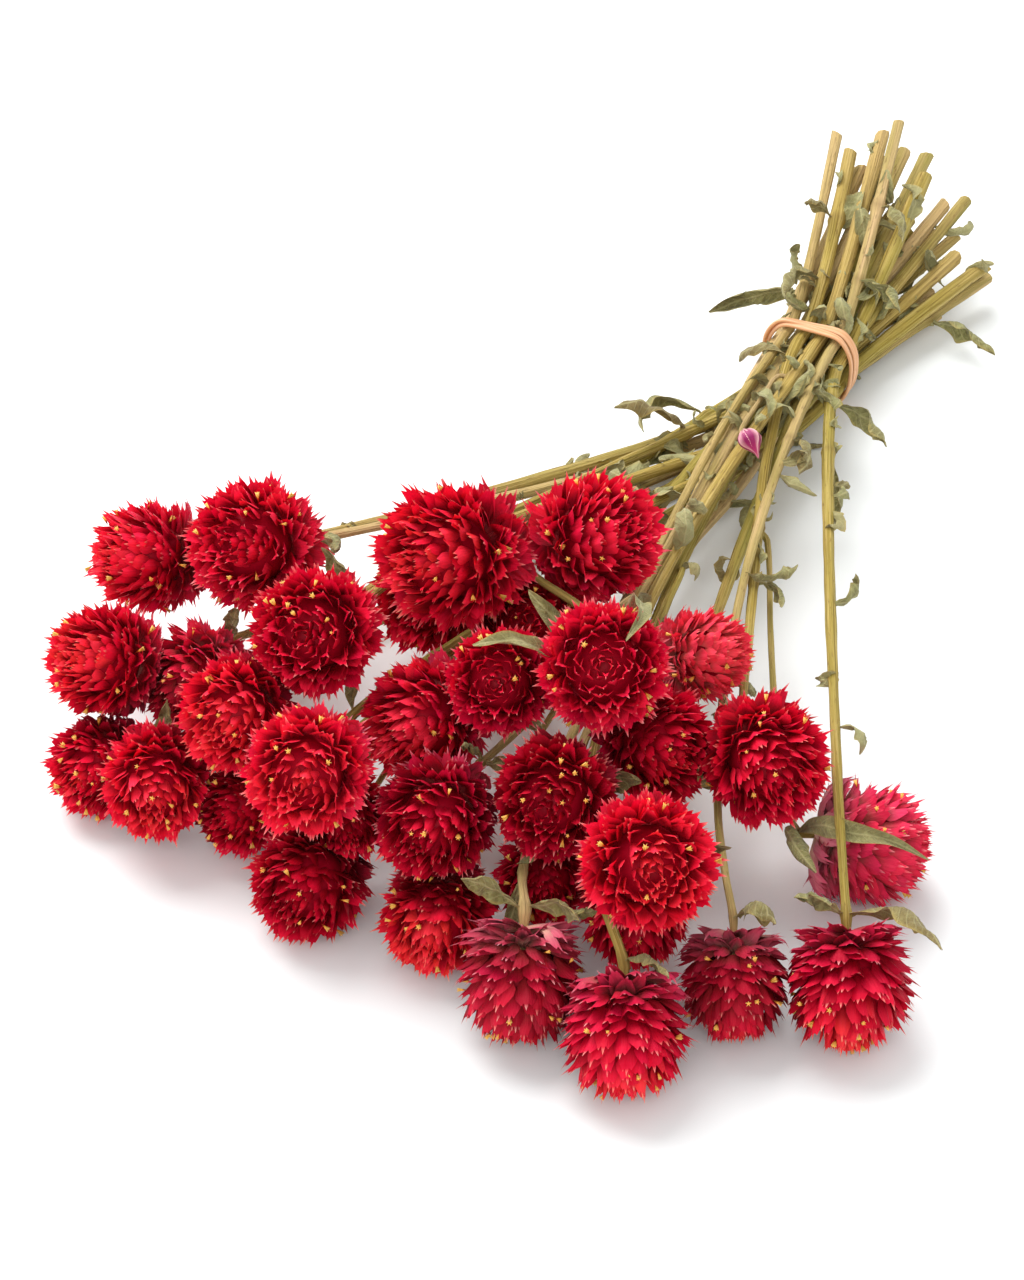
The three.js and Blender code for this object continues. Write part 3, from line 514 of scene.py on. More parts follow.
def stem_material():
    look = Finish("dried_stems")
    thread = look.threads(1.9, 0.03, 4)
    blotch = look.threads(0.35, 0.025, 2)
    spots = look.threads(1.3, 0.25, 5)
    colour = look.ramp(
        thread, (0.0, (0.19, 0.12, 0.018)), (0.45, (0.43, 0.30, 0.060)), (1.0, (0.63, 0.47, 0.16)))
    straw = look.mix(0.65, colour, (0.78, 0.54, 0.30))
    dry = look.times(look.stored("age"), look.fit(blotch, 0, 1, 1.0, 0.5))
    colour = look.mix(dry, colour, straw)
    green = look.mix(0.6, colour, (0.24, 0.25, 0.030))
    colour = look.mix(look.times(look.stored("chance"), blotch), colour, green)
    brown = look.sums("MAXIMUM", look.fit(spots, 0.72, 1.0, 0, 0.7), look.stored("along"))
    colour = look.mix(brown, colour, (0.16, 0.085, 0.022))
    pith = look.mix(look.stored("fade"), colour, (0.80, 0.56, 0.28))
    return look.dress({
        "Base Color": pith, "Roughness": look.fit(thread, 0, 1, 0.75, 0.55),
        "Specular IOR Level": 0.25,
    }, thread, 0.0006, 0.8)


def leaf_material():
    look = Finish("shrivelled_leaves")
    lay = look.tree.nodes.new("ShaderNodeSeparateXYZ")
    look.fill(lay, {0: look.stored("lay", "Vector")})
    aside = look.sums("ABSOLUTE", lay.outputs[0])
    slant = look.sums("SUBTRACT", lay.outputs[1], look.times(aside, 1.1))
    side_vein = look.fit(look.sums("SINE", look.times(slant, 2.6)), 0.80, 1.0)
    vein = look.sums("MAXIMUM", look.fit(aside, 0.38, 0.05), look.times(side_vein, 0.6))
    crumple = look.threads(0.9, 0.9, 5)
    fine = look.threads(3.5, 3.5, 4)
    colour = look.ramp(
        crumple, (0.0, (0.080, 0.080, 0.022)), (0.5, (0.20, 0.205, 0.062)),
        (1.0, (0.36, 0.37, 0.14)))
    colour = look.mix(look.fit(fine, 0, 1, 0, 0.4), colour, (0.42, 0.37, 0.14))
    brown = look.mix(0.6, colour, (0.22, 0.12, 0.030))
    colour = look.mix(look.stored("age"), colour, brown)
    colour = look.mix(look.stored("fade"), colour, (0.44, 0.42, 0.19))
    margin = look.fit(look.stored("chance"), 0.8, 1.0, 0, 0.55)
    colour = look.mix(margin, colour, (0.46, 0.33, 0.08))
    colour = look.mix(look.times(vein, 0.6), colour, (0.52, 0.47, 0.22))
    wrinkles = look.sums("ADD", crumple, look.times(fine, 0.35))
    relief = look.sums("ADD", look.times(vein, 0.5), wrinkles)
    inputs = {"Base Color": colour, "Roughness": 0.75, "Sheen Weight": 0.1}
    return look.dress(inputs, relief, 0.0005, 0.8)


class Build:
    """Collects points in millimetres, faces and their finish, and makes one mesh of them."""

    def __init__(self):
        self.points, self.quads, self.tris, self.rims = [], [], [], []
        self.values = {"lay": [], "along": [], "age": [], "chance": [], "fade": []}
        self.total = 0

    def add(self, points, quads=None, tris=None, finish=0, rim=None, **values):
        points = np.asarray(points, float)
        for kept, faces, corners in ((self.quads, quads, 4), (self.tris, tris, 3)):
            if faces is not None:
                faces = np.asarray(faces, int).reshape(-1, corners) + self.total
                kept.append((faces, np.full(len(faces), finish)))
        self.points.append(points)
        self.rims.append(np.zeros(len(points), bool) if rim is None else rim)
        for name, kept in self.values.items():
            shape = (len(points), 3) if name == "lay" else (len(points),)
            kept.append(np.broadcast_to(np.asarray(values.get(name, 0.0), float), shape))
        self.total += len(points)

    def add_sheets(self, grid, thickness, finish=0, **values):
        """Closed papery sheets from [sheet, row, column] grids of points: the two faces share
        their rim, and the back face lies a thickness behind the front one."""
        k, m, n, _ = grid.shape
        normal = unit(np.cross(np.gradient(grid, axis=2), np.gradient(grid, axis=1)))
        front = np.arange(k * m * n).reshape(k, m, n)
        inside = (slice(None), slice(1, -1), slice(1, -1))
        back, rim = front.copy(), np.ones((k, m, n), bool)
        back[inside] = k * m * n + np.arange(k * (m - 2) * (n - 2)).reshape(k, m - 2, n - 2)
        rim[inside] = False
        behind = (grid[inside] - normal[inside] * thickness).reshape(-1, 3)
        faces = []
        for ix, step in ((front, 1), (back, -1)):
            corners = ix[:, :-1, :-1], ix[:, :-1, 1:], ix[:, 1:, 1:], ix[:, 1:, :-1]
            faces.append(np.stack(corners[::step], -1).reshape(-1, 4))
        source = np.concatenate([front.ravel(), front[inside].ravel()])
        for name, value in values.items():
            shape = grid.shape if name == "lay" else grid.shape[:3]
            whole = np.broadcast_to(np.asarray(value, float), shape)
            values[name] = whole.reshape(-1, *shape[3:])[source]
        rim = np.append(rim.ravel(), np.zeros(len(behind), bool))
        points = np.vstack([grid.reshape(-1, 3), behind])
        self.add(points, np.vstack(faces), finish=finish, rim=rim, **values)

    def mesh(self, name, materials):
        points = (np.concatenate(self.points) - BUNCH_MIDDLE) / 1000
        faces, finish = zip(*self.quads, *self.tris)
        mesh = bpy.data.meshes.new(name)
        mesh.from_pydata(points.tolist(), [], [face for part in faces for face in part.tolist()])
        mesh.polygons.foreach_set("material_index", np.concatenate(finish).astype(np.int32))
        mesh.polygons.foreach_set("use_smooth", np.ones(len(mesh.polygons), bool))
        ends = np.zeros(len(mesh.edges) * 2, np.int32)
        mesh.edges.foreach_get("vertices", ends)
        sharp = np.concatenate(self.rims)[ends.reshape(-1, 2)].all(axis=1)
        mesh.attributes.new("sharp_edge", "BOOLEAN", "EDGE").data.foreach_set("value", sharp)
        for key, kept in self.values.items():
            kind, field = ("FLOAT_VECTOR", "vector") if key == "lay" else ("FLOAT", "value")
            data = np.concatenate(kept).astype(np.float32).ravel()
            mesh.attributes.new(key, kind, "POINT").data.foreach_set(field, data)
        mesh.validate()
        for material in materials:
            mesh.materials.append(material)
        piece = bpy.data.objects.new(name, mesh)
        bpy.context.scene.collection.objects.link(piece)
        return piece


STEM_SIDES = 24
RIBS = ((0.045, 8), (0.05, 3))
KNOT_SWELL, KNOT_LENGTH, SCAR_DARKNESS, SCAR_LENGTH = 0.26, 1.9, 0.4, 1.4
PITH_DEPTH, DRY_LENGTH = 0.25, 30


def side_ways(axis):
    helper = np.array([0, 0, 1.0]) if abs(axis[2]) < 0.9 else np.array([1.0, 0, 0])
    side = unit(np.cross(helper, axis))
    return side, np.cross(axis, side)


def smooth_run(points, radii):
    """A smooth line through the joints of a stem, with its thickness and its length."""
    first, last = points[1] - points[0], points[-1] - points[-2]
    ways = unit(np.vstack([first, points[2:] - points[:-2], last]))
    run, thick = [], []
    for i in range(len(points) - 1):
        span = np.linalg.norm(points[i + 1] - points[i])
        count = max(3, int(round(span / 2.6)))
        t = np.arange(count)[:, None] / count
        run.append(bowed(t, span, points[i], ways[i], points[i + 1], ways[i + 1]))
        thick.append(radii[i] * (1 - t[:, 0]) + radii[i + 1] * t[:, 0])
    run, thick = np.vstack(run + [points[-1]]), np.concatenate(thick + [[radii[-1]]])
    length = np.concatenate([[0], np.cumsum(size_of(np.diff(run, axis=0)))])
    return run, thick, length


def add_tube(build, points, radii, knots, draw, cut_end):
    """A ribbed stem with a scarred knot wherever leaves or twigs grow, and pith at its cut end."""
    run, thick, length = smooth_run(points, radii)
    count, sides = len(run), STEM_SIDES
    way = unit(np.gradient(run, axis=0))
    starts = [side_ways(way[0])[0]]
    for w in way:
        starts.append(unit(starts[-1] - w * (starts[-1] @ w)))
    starts = np.array(starts[1:])
    others = np.cross(way, starts)
    turn = np.linspace(0, 2 * math.pi, sides, endpoint=False)
    screw = turn[None] + 0.012 * length[:, None]
    ribs = 1
    for height, number in RIBS:
        ribs = ribs + height * np.cos(screw * number + draw.uniform(0, 6))
    swell, scar = np.ones(count), np.zeros(count)
    for knot in knots:
        off = size_of(run - knot)
        swell += KNOT_SWELL * np.exp(-((off / KNOT_LENGTH) ** 2))
        scar = np.maximum(scar, SCAR_DARKNESS * np.exp(-((off / SCAR_LENGTH) ** 2)))
    wander = 1 + 0.05 * np.sin(length * 0.11 + draw.uniform(0, 6))
    wander = wander + 0.03 * np.sin(length * 0.37 + draw.uniform(0, 6))
    radius = (thick * swell * (wander * draw.uniform(0.68, 0.97)))[:, None] * ribs
    rings = run[:, None] + radius[..., None] * (
        starts[:, None] * np.cos(turn)[:, None] + others[:, None] * np.sin(turn)[:, None])
    if cut_end:
        tilt = draw.uniform(-0.5, 0.5, 2)
        slant = radius * (tilt[0] * np.cos(turn) + tilt[1] * np.sin(turn))
        rings = rings + way[:, None] * (slant * np.exp(-length / 2.5)[:, None])[..., None]
    rings[..., 2] = np.maximum(rings[..., 2], 0.05)
    pith = rings[0] * 0.35 + rings[0].mean(0) * 0.65 + way[0] * PITH_DEPTH
    every = np.vstack([rings.reshape(-1, 3), rings[0], pith, pith.mean(0), rings[-1].mean(0)])
    total = count * sides
    ix = np.arange(total).reshape(count, sides)
    nxt = np.roll(ix, -1, 1)
    rim, inner = total + np.arange(sides), total + sides + np.arange(sides)
    quads = [
        np.stack([ix[:-1], nxt[:-1], nxt[1:], ix[1:]], -1).reshape(-1, 4),
        np.stack([np.roll(rim, -1), rim, inner, np.roll(inner, -1)], -1),
    ]
    tris = [[total + 2 * sides, b, a] for a, b in zip(inner, np.roll(inner, -1))]
    tris += [[total + 2 * sides + 1, a, b] for a, b in zip(ix[-1], nxt[-1])]
    seed = draw.uniform(0, 400)
    lay = np.stack(np.broadcast_arrays(
        np.cos(turn)[None] * 1.6, length[:, None], np.sin(turn)[None] * 1.6,
    ), -1).reshape(-1, 3) + [seed, 0, seed * 0.7]
    lay = np.vstack([lay, lay[:sides], lay[:sides] * 0.4, lay[:1], lay[-1:]])
    dry = np.full(count, draw.uniform(-0.5, 1.2))
    fade = np.zeros(len(every))
    if cut_end:
        dry = dry + 0.6 * np.exp(-length / DRY_LENGTH)
        fade[total:-1] = 1
        fade[total + sides:-1] = 0.75
    age = np.repeat(np.clip(dry, 0, 1), sides)
    ends = np.ones(len(every) - total)
    build.add(every, np.vstack(quads), tris, lay=lay, fade=fade, chance=draw.uniform(0, 1),
              age=np.concatenate([age, age[0] * ends]),
              along=np.concatenate([np.repeat(scar, sides), 0 * ends]))
    return run, way, radius.mean(1), length


def add_leaf(build, leaf, draw, rows=26, columns=9, roll=(1.1, 2.2), pale=0.0):
    """A shrivelled leaf: a blade with rolled and wavy margins, thin and crumpled."""
    middle, across, up, half = leaf.cuts
    length, width = leaf.length, leaf.width
    a = np.linspace(0, 1, rows)
    u = np.linspace(-1, 1, columns)
    i = np.clip(np.searchsorted(LEAF_CUTS, a, side="right") - 1, 0, 3)
    span = LEAF_CUTS[i + 1] - LEAF_CUTS[i]
    t = (a - LEAF_CUTS[i]) / span

    def through(values):
        ways = np.gradient(values, LEAF_CUTS, axis=0)
        shape = (rows,) + (1,) * (values.ndim - 1)
        step, share = span.reshape(shape), t.reshape(shape)
        return bowed(share, step, values[i], ways[i], values[i + 1], ways[i + 1])

    def wave(count, phase):
        return np.sin(a * count + phase)[:, None]

    centre, side, lift = through(middle), unit(through(across)), unit(through(up))
    along = unit(np.gradient(centre, axis=0))
    wide = np.maximum(through(half), 0.12)[:, None]
    phase = draw.uniform(0, 6, 8)
    margin = 1 + 0.06 * wave(11, phase[0]) * np.sign(u)[None]
    margin = margin + 0.03 * wave(27, phase[1])
    body = np.sin(np.clip(a, 0, 1) * math.pi)[:, None] ** 0.7
    rolled = draw.uniform(*roll) * (0.7 + 0.5 * a[:, None] + 0.3 * wave(5, phase[2]))
    x = np.sin(u[None] * rolled) / rolled * wide * margin
    rise = (1 - np.cos(u[None] * rolled)) / rolled * wide
    rise = rise + 0.10 * width * body * wave(9, phase[3]) * np.cos(u * 2.2 + phase[4])[None]
    rise = rise + 0.055 * width * body * np.sin(a[:, None] * 22 + u[None] * 3.4 + phase[5])
    rise = rise + 0.12 * width * (u**4)[None] * wave(13, phase[6]) * body
    grid = centre[:, None] + side[:, None] * x[..., None] + lift[:, None] * rise[..., None]
    grid = grid + along[:, None] * (0.06 * width * wave(15, phase[7]) * u[None])[..., None]
    stalk = leaf.root + (centre[0] - leaf.root) * 0.35
    grid = np.concatenate([(stalk + (grid[0] - centre[0]) * 1.3)[None], grid])
    grid[..., 2] = np.maximum(grid[..., 2], 0.4)
    v = np.concatenate([[-0.04], a])[:, None] * length + 0 * u[None]
    flat = np.vstack([u[None] * wide[:1], u[None] * wide])
    lay = np.stack([flat, v, np.full_like(v, draw.uniform(0, 90))], -1)
    age = draw.uniform(0, 1) ** 2 + 0.4 * np.concatenate([[0], a])[:, None] ** 3 + 0 * u[None]
    build.add_sheets(grid[None], LEAF_THICKNESS, 1, lay=lay, along=v / length,
                     age=np.clip(age, 0, 1), chance=np.abs(u), fade=pale)


# Spacing of the places where leaves grew, then odds that a scrap is left by how far it is from
# the tie
SCRAP_SPACING = 6.5
SCRAP_ODDS = ((26, 0.85), (75, 0.4), (1000, 0.2))


def add_scraps(build, run, way, thick, length, draw):
    """Withered remains of leaves, curled up tightly on a stem where they grew, most of them
    near the tie."""
    from_tie = length - np.interp(0, TIE[1] - run[:, 1], length)
    for spot in np.arange(draw.uniform(4, 10), length[-1] - 30, SCRAP_SPACING):
        off = abs(np.interp(spot, length, from_tie))
        if off < 5 or draw.uniform() > next(odds for far, odds in SCRAP_ODDS if off < far):
            continue
        k = int(np.searchsorted(length, spot))
        along = way[k]
        middle = np.array([np.interp(run[k, 1], [-110, 116, 170], [34, 29, 30]), run[k, 1], 16.0])
        out = unit(run[k] - middle + draw.normal(size=3) * 3)
        out = unit(out - along * (out @ along))
        if out[2] < -0.2:
            out = -out
        big = draw.uniform() < 0.45
        size = draw.uniform(9, 17) if big else draw.uniform(4, 8)
        width = draw.uniform(4.0, 7.0) if big else draw.uniform(2.5, 4.5)
        heading = unit(out * draw.uniform(0.2, 0.9)
                       + along * draw.choice([-1, 1]) * draw.uniform(0.4, 1.2)
                       + np.cross(along, out) * draw.uniform(-0.6, 0.6))
        normal = unit(out - heading * (out @ heading))
        bend = math.radians(draw.uniform(15, 65) * draw.choice([-1, 1, 1]))
        twist = math.radians(draw.uniform(-50, 50))
        cuts = curled(run[k] + out * 0.85 * thick[k], heading, normal, size, (bend, 0), twist)
        scrap = Form(cuts=cuts + [LEAF_SPREAD * width / 2], length=size, width=width, root=run[k])
        add_leaf(build, scrap, draw, 14, 7, (1.0, 2.2), draw.uniform(0, 0.7))


# Withered leaves that lie over a head: the stem and joint each grows from, the head, the
# width, and the middles of its cuts on the way to its tip
LAID_OVER = [
    ["crown", 13, "middle_top", 6.0,
     [[36, -57, 50.5], [31.9, -61.3, 56.2], [26.1, -65.1, 58.4], [21.2, -68.4, 58]]],
    ["crown", 12, "crown", 5.5,
     [[48.5, -44, 59.5], [53.2, -50.6, 66.3], [55.8, -57.1, 68.6], [55.6, -64.6, 68.4]]],
    ["outer_right", 4, "outer_right", 5.6,
     [[98.6, -55.8, 23.4], [106.7, -56.6, 24.6], [115.7, -54.4, 23.6], [122.2, -49.6, 16.6]]],
]


def add_leaf_over(build, stem, row, draw):
    name, joint, under, width, middles = row
    root = stem.points[joint]
    middles = np.array(middles, float)
    middles = np.vstack([root + unit(middles[0] - root) * 1.2, middles])
    ahead = unit(np.gradient(middles, axis=0))
    across = unit(np.cross(middles - heads[under].centre, ahead))
    length = size_of(np.diff(middles, axis=0)).sum()
    cuts = middles, across, np.cross(ahead, across), LEAF_SPREAD * width / 2
    leaf = Form(cuts=cuts, length=length, width=width, root=root)
    add_leaf(build, leaf, draw, roll=(1.2, 1.6), pale=0.25)


dried_stems = stem_material()
shrivelled_leaves = leaf_material()
for number, stem in enumerate(stems):
    if stem.parent:
        continue
    draw = np.random.default_rng(700 + number)
    build = Build()
    own = [stem] + [s for s in stems if s.parent is stem]
    for part in own:
        head = heads[part.name]
        heart = head.centre - head.axis * 0.45 * head.radius
        points = np.vstack([part.points, heart])
        radii = np.append(part.radii, part.radii[-1])
        knots = [leaf.root for leaf in leaves if leaf.stem is part]
        knots += [stem.points[s.joint] for s in own[1:] if part is stem]
        if part.parent:
            points = np.vstack([stem.points[part.joint], points])
            radii = np.append(radii[0], radii)
        run, way, thick, length = add_tube(build, points, radii, knots, draw, part is stem)
        for leaf in leaves:
            if leaf.stem is part:
                add_leaf(build, leaf, draw)
        if part is stem:
            add_scraps(build, run, way, thick, length, draw)
        for row in LAID_OVER:
            if row[0] == part.name:
                add_leaf_over(build, part, row, np.random.default_rng(900 + row[1]))
    piece = build.mesh("stem_" + stem.name, [dried_stems, shrivelled_leaves])
    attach(piece, "root")
    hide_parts("leafy_stem_" + stem.name)


# ---------------------------------------------------------------------------
# The flower heads
# Each is a dense spiral of papery bracts that dried on the plant. They are keeled and end in
# small teeth, red at the tip of the head, crimson below, and fade to pink where oldest.
# ---------------------------------------------------------------------------
def bract_material():
    look = Finish("papery_bracts")
    age, along, chance, fade = (look.stored(name) for name in ("age", "along", "chance", "fade"))
    thread = look.threads(3.0, 0.25)
    some_threads = look.fit(thread, 0, 1, 0, 0.3)
    colour = look.ramp(
        age, (0.0, (0.96, 0.044, 0.030)), (0.22, (0.94, 0.006, 0.034)), (0.5, (0.88, 0.001, 0.044)),
        (0.75, (0.78, 0.001, 0.058)), (1.0, (0.64, 0.003, 0.095)))
    colour = look.mix(some_threads, colour, (1.0, 0.035, 0.110))
    for low, high, least, most, shade in (
        (0.0, 1.7, 0.0, 0.75, (0.36, 0.001, 0.012)),
        # Deepest painted shade, for bracts that a higher head close by would shade
        (1.4, 3.2, 0.0, 0.8, (0.09, 0.000, 0.005)),
        # Below zero, chance lifts the colour towards coral: painted light on the self-shadowed apex
        # of orange-red heads,
        # and the lighter tone of heads whose darkness is set below zero
        (-0.6, 0.3, 0.45, 0.0, (1.0, 0.055, 0.10)),
    ):
        colour = look.mix(look.fit(chance, low, high, least, most), colour, shade)
    # Painted shade at the foot of each bract, where it lies under its neighbours; strong where
    # chance is high, weak where it is low
    foot = look.times(look.fit(along, 0.72, 0.36), look.fit(chance, -1.4, 0.3, 0.1, 0.7))
    colour = look.mix(foot, colour, (0.24, 0.000, 0.005))
    # Pale points at the bract tips: partly the dry tips' own pale colour, partly a painted glint
    point = look.times(look.fit(along, 0.86, 0.98), look.fit(thread, 0, 1, 0.3, 1))
    pale = look.ramp(
        age, (0.0, (1.0, 0.50, 0.26)), (0.5, (1.0, 0.50, 0.42)), (1.0, (1.0, 0.58, 0.62)))
    colour = look.mix(look.times(point, 0.9), colour, pale)
    faded = look.ramp(
        along, (0.25, (0.86, 0.62, 0.44)), (0.6, (0.64, 0.17, 0.24)), (0.9, (0.58, 0.030, 0.12)))
    faded = look.mix(some_threads, faded, (0.90, 0.45, 0.42))
    return look.dress({
        "Base Color": look.mix(fade, colour, faded),
        "Roughness": look.fit(thread, 0, 1, 0.45, 0.65), "Specular IOR Level": 0.16,
    }, thread, 0.00025, 0.6)


def floret_material():
    look = Finish("yellow_florets")
    colour = look.ramp(look.stored("along"), (0.0, (0.85, 0.18, 0.02)),
                       (0.5, (1.0, 0.48, 0.05)), (1.0, (1.0, 0.74, 0.22)))
    grain = look.node("ShaderNodeTexNoise", {"Scale": 3000}, "Fac")
    colour = look.mix(look.fit(grain, 0.3, 0.7, 0, 0.3), colour, (0.9, 0.4, 0.1))
    return look.dress({"Base Color": colour})


# Half of one bract, row by row: how far along its margin, middle and keel are, then how far
# across the margin and middle are. It ends in three teeth
HALF_BRACT = np.array([
    [0.00, 0.00, 0.00, 0.40, 0.20],
    [0.30, 0.31, 0.31, 0.75, 0.38],
    [0.48, 0.50, 0.51, 1.00, 0.50],
    [0.63, 0.65, 0.66, 0.96, 0.48],
    [0.78, 0.76, 0.80, 0.70, 0.34],
    [0.89, 0.84, 1.00, 0.44, 0.20],
])
BRACT_ALONG = HALF_BRACT[:, [0, 1, 2, 1, 0]]
BRACT_ACROSS = HALF_BRACT[:, [3, 4, 4, 4, 3]] * [-1, -1, 0, 1, 1]
BRACT_WIDTH = 0.66
BRACT_THICKNESS = 0.14
GOLDEN_TURN = 2.39996
LAST_TIP = 2.36
BASE_BRACTS = 17
FLORETS = 15
HEART_SHARE = 0.56
PRESSED_FROM, CLOSE_BY = 0.86, 1.22


def limits_around(head):
    """Flat limits: bracts stop at the neighbours, at passing stems and at the table."""
    centre, size = head.centre, head.radius
    limits = [(np.array([0, 0, -1.0]), centre[2], 0.0)]
    for other in heads.values():
        way = other.centre - centre
        apart = np.linalg.norm(way)
        if other is head or apart > CLOSE_BY * (size + other.radius) + GAP:
            continue
        way = way / apart
        here = size * head_profile(way @ head.axis)
        there = other.radius * head_profile(-way @ other.axis)
        limits.append((way, apart * here / (here + there) - GAP / 2, 0.9))
    for stem in stems:
        joints, last = stem.points, len(stem.points) - 1
        for i in range(last - 1 if stem.name == head.name else last):
            span = joints[i + 1] - joints[i]
            share = np.clip(dot(centre - joints[i], span) / dot(span, span), 0, 1)
            way = joints[i] + span * share - centre
            reach = np.linalg.norm(way) - max(stem.radii[i:i + 2]) - 0.85 * GAP
            if reach < CLOSE_BY * size:
                limits.append((unit(way), reach, 0.3))
    ways, reaches, soft = (np.array(part) for part in zip(*limits))
    return ways, reaches + soft


def press_in(points, head, limits):
    """Points that would pass a limit are pressed in behind it, keeping their order."""
    ways, reaches = limits
    off = points.reshape(-1, 3) - head.centre
    far = size_of(off)
    lean = (off / np.maximum(far, 1e-9)[:, None]) @ ways.T
    allowed = np.where(lean > 0.02, reaches[None] / np.maximum(lean, 0.02), 1e3).min(axis=1)
    knee = PRESSED_FROM * allowed
    over = np.maximum(far - knee, 0) / (allowed - knee)
    pressed = np.where(far > knee, knee + (allowed - knee) * (1 - np.exp(-over)), far)
    pressed = head.centre + off * (pressed / np.maximum(far, 1e-9))[:, None]
    return pressed.reshape(points.shape)


def spiral(count, draw):
    """Where the tips of the bracts are, from the apex to the base, and how close they sit."""
    order = (np.arange(count) + 0.5) / count
    tip = LAST_TIP * order**0.85 + 0.05 * draw.normal(size=count) * np.minimum(1, 4 * order)
    tip = np.clip(tip, 0.03, None)
    spacing = np.sqrt(2 * math.pi * np.sin(np.clip(tip, 0.1, 2.2)) * tip * 0.85
                      / (count * (tip / LAST_TIP) ** (1 / 0.85)))
    return tip, spacing


def bract_grids(head, draw, tip, spacing, stand=0.42, travel=(0.16, 0.34, 0.58, 0.66)):
    """The bracts of a head as grids of points. Each leaves the heart of the head and rises
    towards the apex, to a tip at its own angle from the axis."""
    size, axis = head.radius, head.axis
    side, other = side_ways(axis)
    count = len(tip)

    def uneven(middle, spread):
        return (middle + spread * draw.normal(size=count))[:, None, None]

    turn = GOLDEN_TURN * np.arange(count) + 0.10 * draw.normal(size=count)
    swing = np.interp(tip, [0, 0.3, 0.8, 1.3], travel)[:, None, None] * uneven(1, 0.12)
    length = uneven(0.975, 0.045)
    teeth = BRACT_ALONG[None] + np.zeros((count, 1, 1))
    for column in (0, 4):
        teeth[:, 5, column] += 0.03 * draw.normal(size=count)
    e = side * np.cos(turn)[:, None] + other * np.sin(turn)[:, None]

    def spine(v):
        polar = tip[:, None, None] + swing * (1 - v)
        rise = (1 - stand) + stand * (0.6 * v + 0.4 * v * v)
        dimple = 1 - 0.07 * np.exp(-((polar / 0.25) ** 2))
        far = size * rise * head_profile(np.cos(polar)) * dimple * (1 + (length - 1) * v)
        ring = far * np.sin(polar)
        return axis * (far * np.cos(polar))[..., None] + e[:, None, None] * ring[..., None], ring

    middle, ring = spine(teeth)
    along = unit(spine(teeth + 0.01)[0] - middle)
    twist = 0.22 * draw.normal(size=count)[:, None, None, None]
    across = np.broadcast_to(np.cross(axis, e)[:, None, None], along.shape)
    outward = unit(np.cross(across, along))
    across = across * np.cos(twist) + outward * np.sin(twist)
    outward = unit(np.cross(across, along))
    half = (BRACT_WIDTH * spacing * size)[:, None, None] * uneven(1, 0.1)
    u = BRACT_ACROSS[None]
    wrap = np.clip(half / np.maximum(2 * np.abs(ring), 0.4), 0, 0.5)
    cup = uneven(0.10, 0.10) + wrap
    keel = uneven(0.42, 0.12)
    lift = half * (keel * (1 - np.abs(u)) - cup * u * u)
    lift = lift + 0.06 * size * uneven(1, 0.7) * np.clip(teeth - 0.6, 0, 1) ** 2 / 0.16
    grid = head.centre + middle + across * (half * u)[..., None] + outward * lift[..., None]
    return grid, Form(tip=tip, half=half, teeth=teeth, middle=middle)


def heart_of(head, limits):
    """The solid heart of a head, behind the bracts."""
    side, other = side_ways(head.axis)
    rings, sides = 8, 16
    polar = np.linspace(0, math.pi, rings + 2)[1:-1, None, None]
    turn = np.linspace(0, 2 * math.pi, sides, endpoint=False)[None, :, None]
    out = side * np.cos(turn) + other * np.sin(turn)
    way = head.axis * np.cos(polar) + np.sin(polar) * out
    size = HEART_SHARE * head.radius
    ends = head.centre + head.axis * np.array([[1.0], [-1.0]]) * size
    points = (head.centre + way * (size * head_profile(np.cos(polar)))).reshape(-1, 3)
    ix = np.arange(rings * sides).reshape(rings, sides)
    nxt = np.roll(ix, -1, 1)
    quads = np.stack([ix[:-1], ix[1:], nxt[1:], nxt[:-1]], -1)
    tris = [[rings * sides, a, b] for a, b in zip(ix[0], nxt[0])]
    tris += [[rings * sides + 1, b, a] for a, b in zip(ix[-1], nxt[-1])]
    return press_in(np.vstack([points, ends]), head, limits), quads.reshape(-1, 4), tris


def painted_shade_from_higher_heads(head, facts):
    """Painted shade: bracts are made darker where a higher head close by would shade them."""
    tips = head.centre + facts.middle[:, 4, 2]
    most = np.zeros(len(tips))
    for other in heads.values():
        if other is head or other.name == "bud":
            continue
        gap = size_of(tips - other.centre) - other.radius
        above = np.clip((other.centre[2] - tips[:, 2]) / 12 + 0.4, 0, 1)
        most = np.maximum(most, np.clip(1 - gap / 9, 0, 1) * above)
    return 1.9 * most


def add_bracts(build, head, grid, facts, limits, chance, fade, age):
    chance, fade, age = (np.asarray(value)[:, None, None] for value in (chance, fade, age))
    flat = BRACT_ACROSS[None] * facts.half
    lay = np.broadcast_arrays(flat, facts.teeth * head.radius * 0.65, chance * 40)
    build.add_sheets(press_in(grid, head, limits), BRACT_THICKNESS, lay=np.stack(lay, -1),
                     along=facts.teeth, age=age, chance=chance, fade=fade)


def add_florets(build, head, facts, limits, draw):
    """Tiny five-pointed yellow flowers that look out between the bracts."""
    seen = np.nonzero((facts.tip > 0.3) & (facts.tip < 2.1))[0]
    pointed = np.arange(10) % 2 == 0
    for k in draw.choice(seen, FLORETS, replace=False):
        tooth = facts.middle[k, 5, 2]
        out = unit(tooth)
        at = head.centre + tooth * 0.96 + out * 0.2
        up = unit(out + 0.25 * draw.normal(size=3))
        side, other = side_ways(up)
        turn = (np.arange(10) * math.pi / 5 + draw.uniform(0, 6))[:, None]
        reach = np.where(pointed, draw.uniform(0.4, 0.75), 0.17)[:, None]
        star = at + reach * (side * np.cos(turn) + other * np.sin(turn))
        star = star + up * np.where(pointed, 0.3, 0.12)[:, None]
        tris = [[10, i, (i + 1) % 10] for i in range(10)]
        tris += [[11, (i + 1) % 10, i] for i in range(10)]
        build.add(press_in(np.vstack([star, at, at - up * 2.2]), head, limits), tris=tris, finish=1,
                  along=[1.0, 0.5] * 5 + [0.2, 0.0])
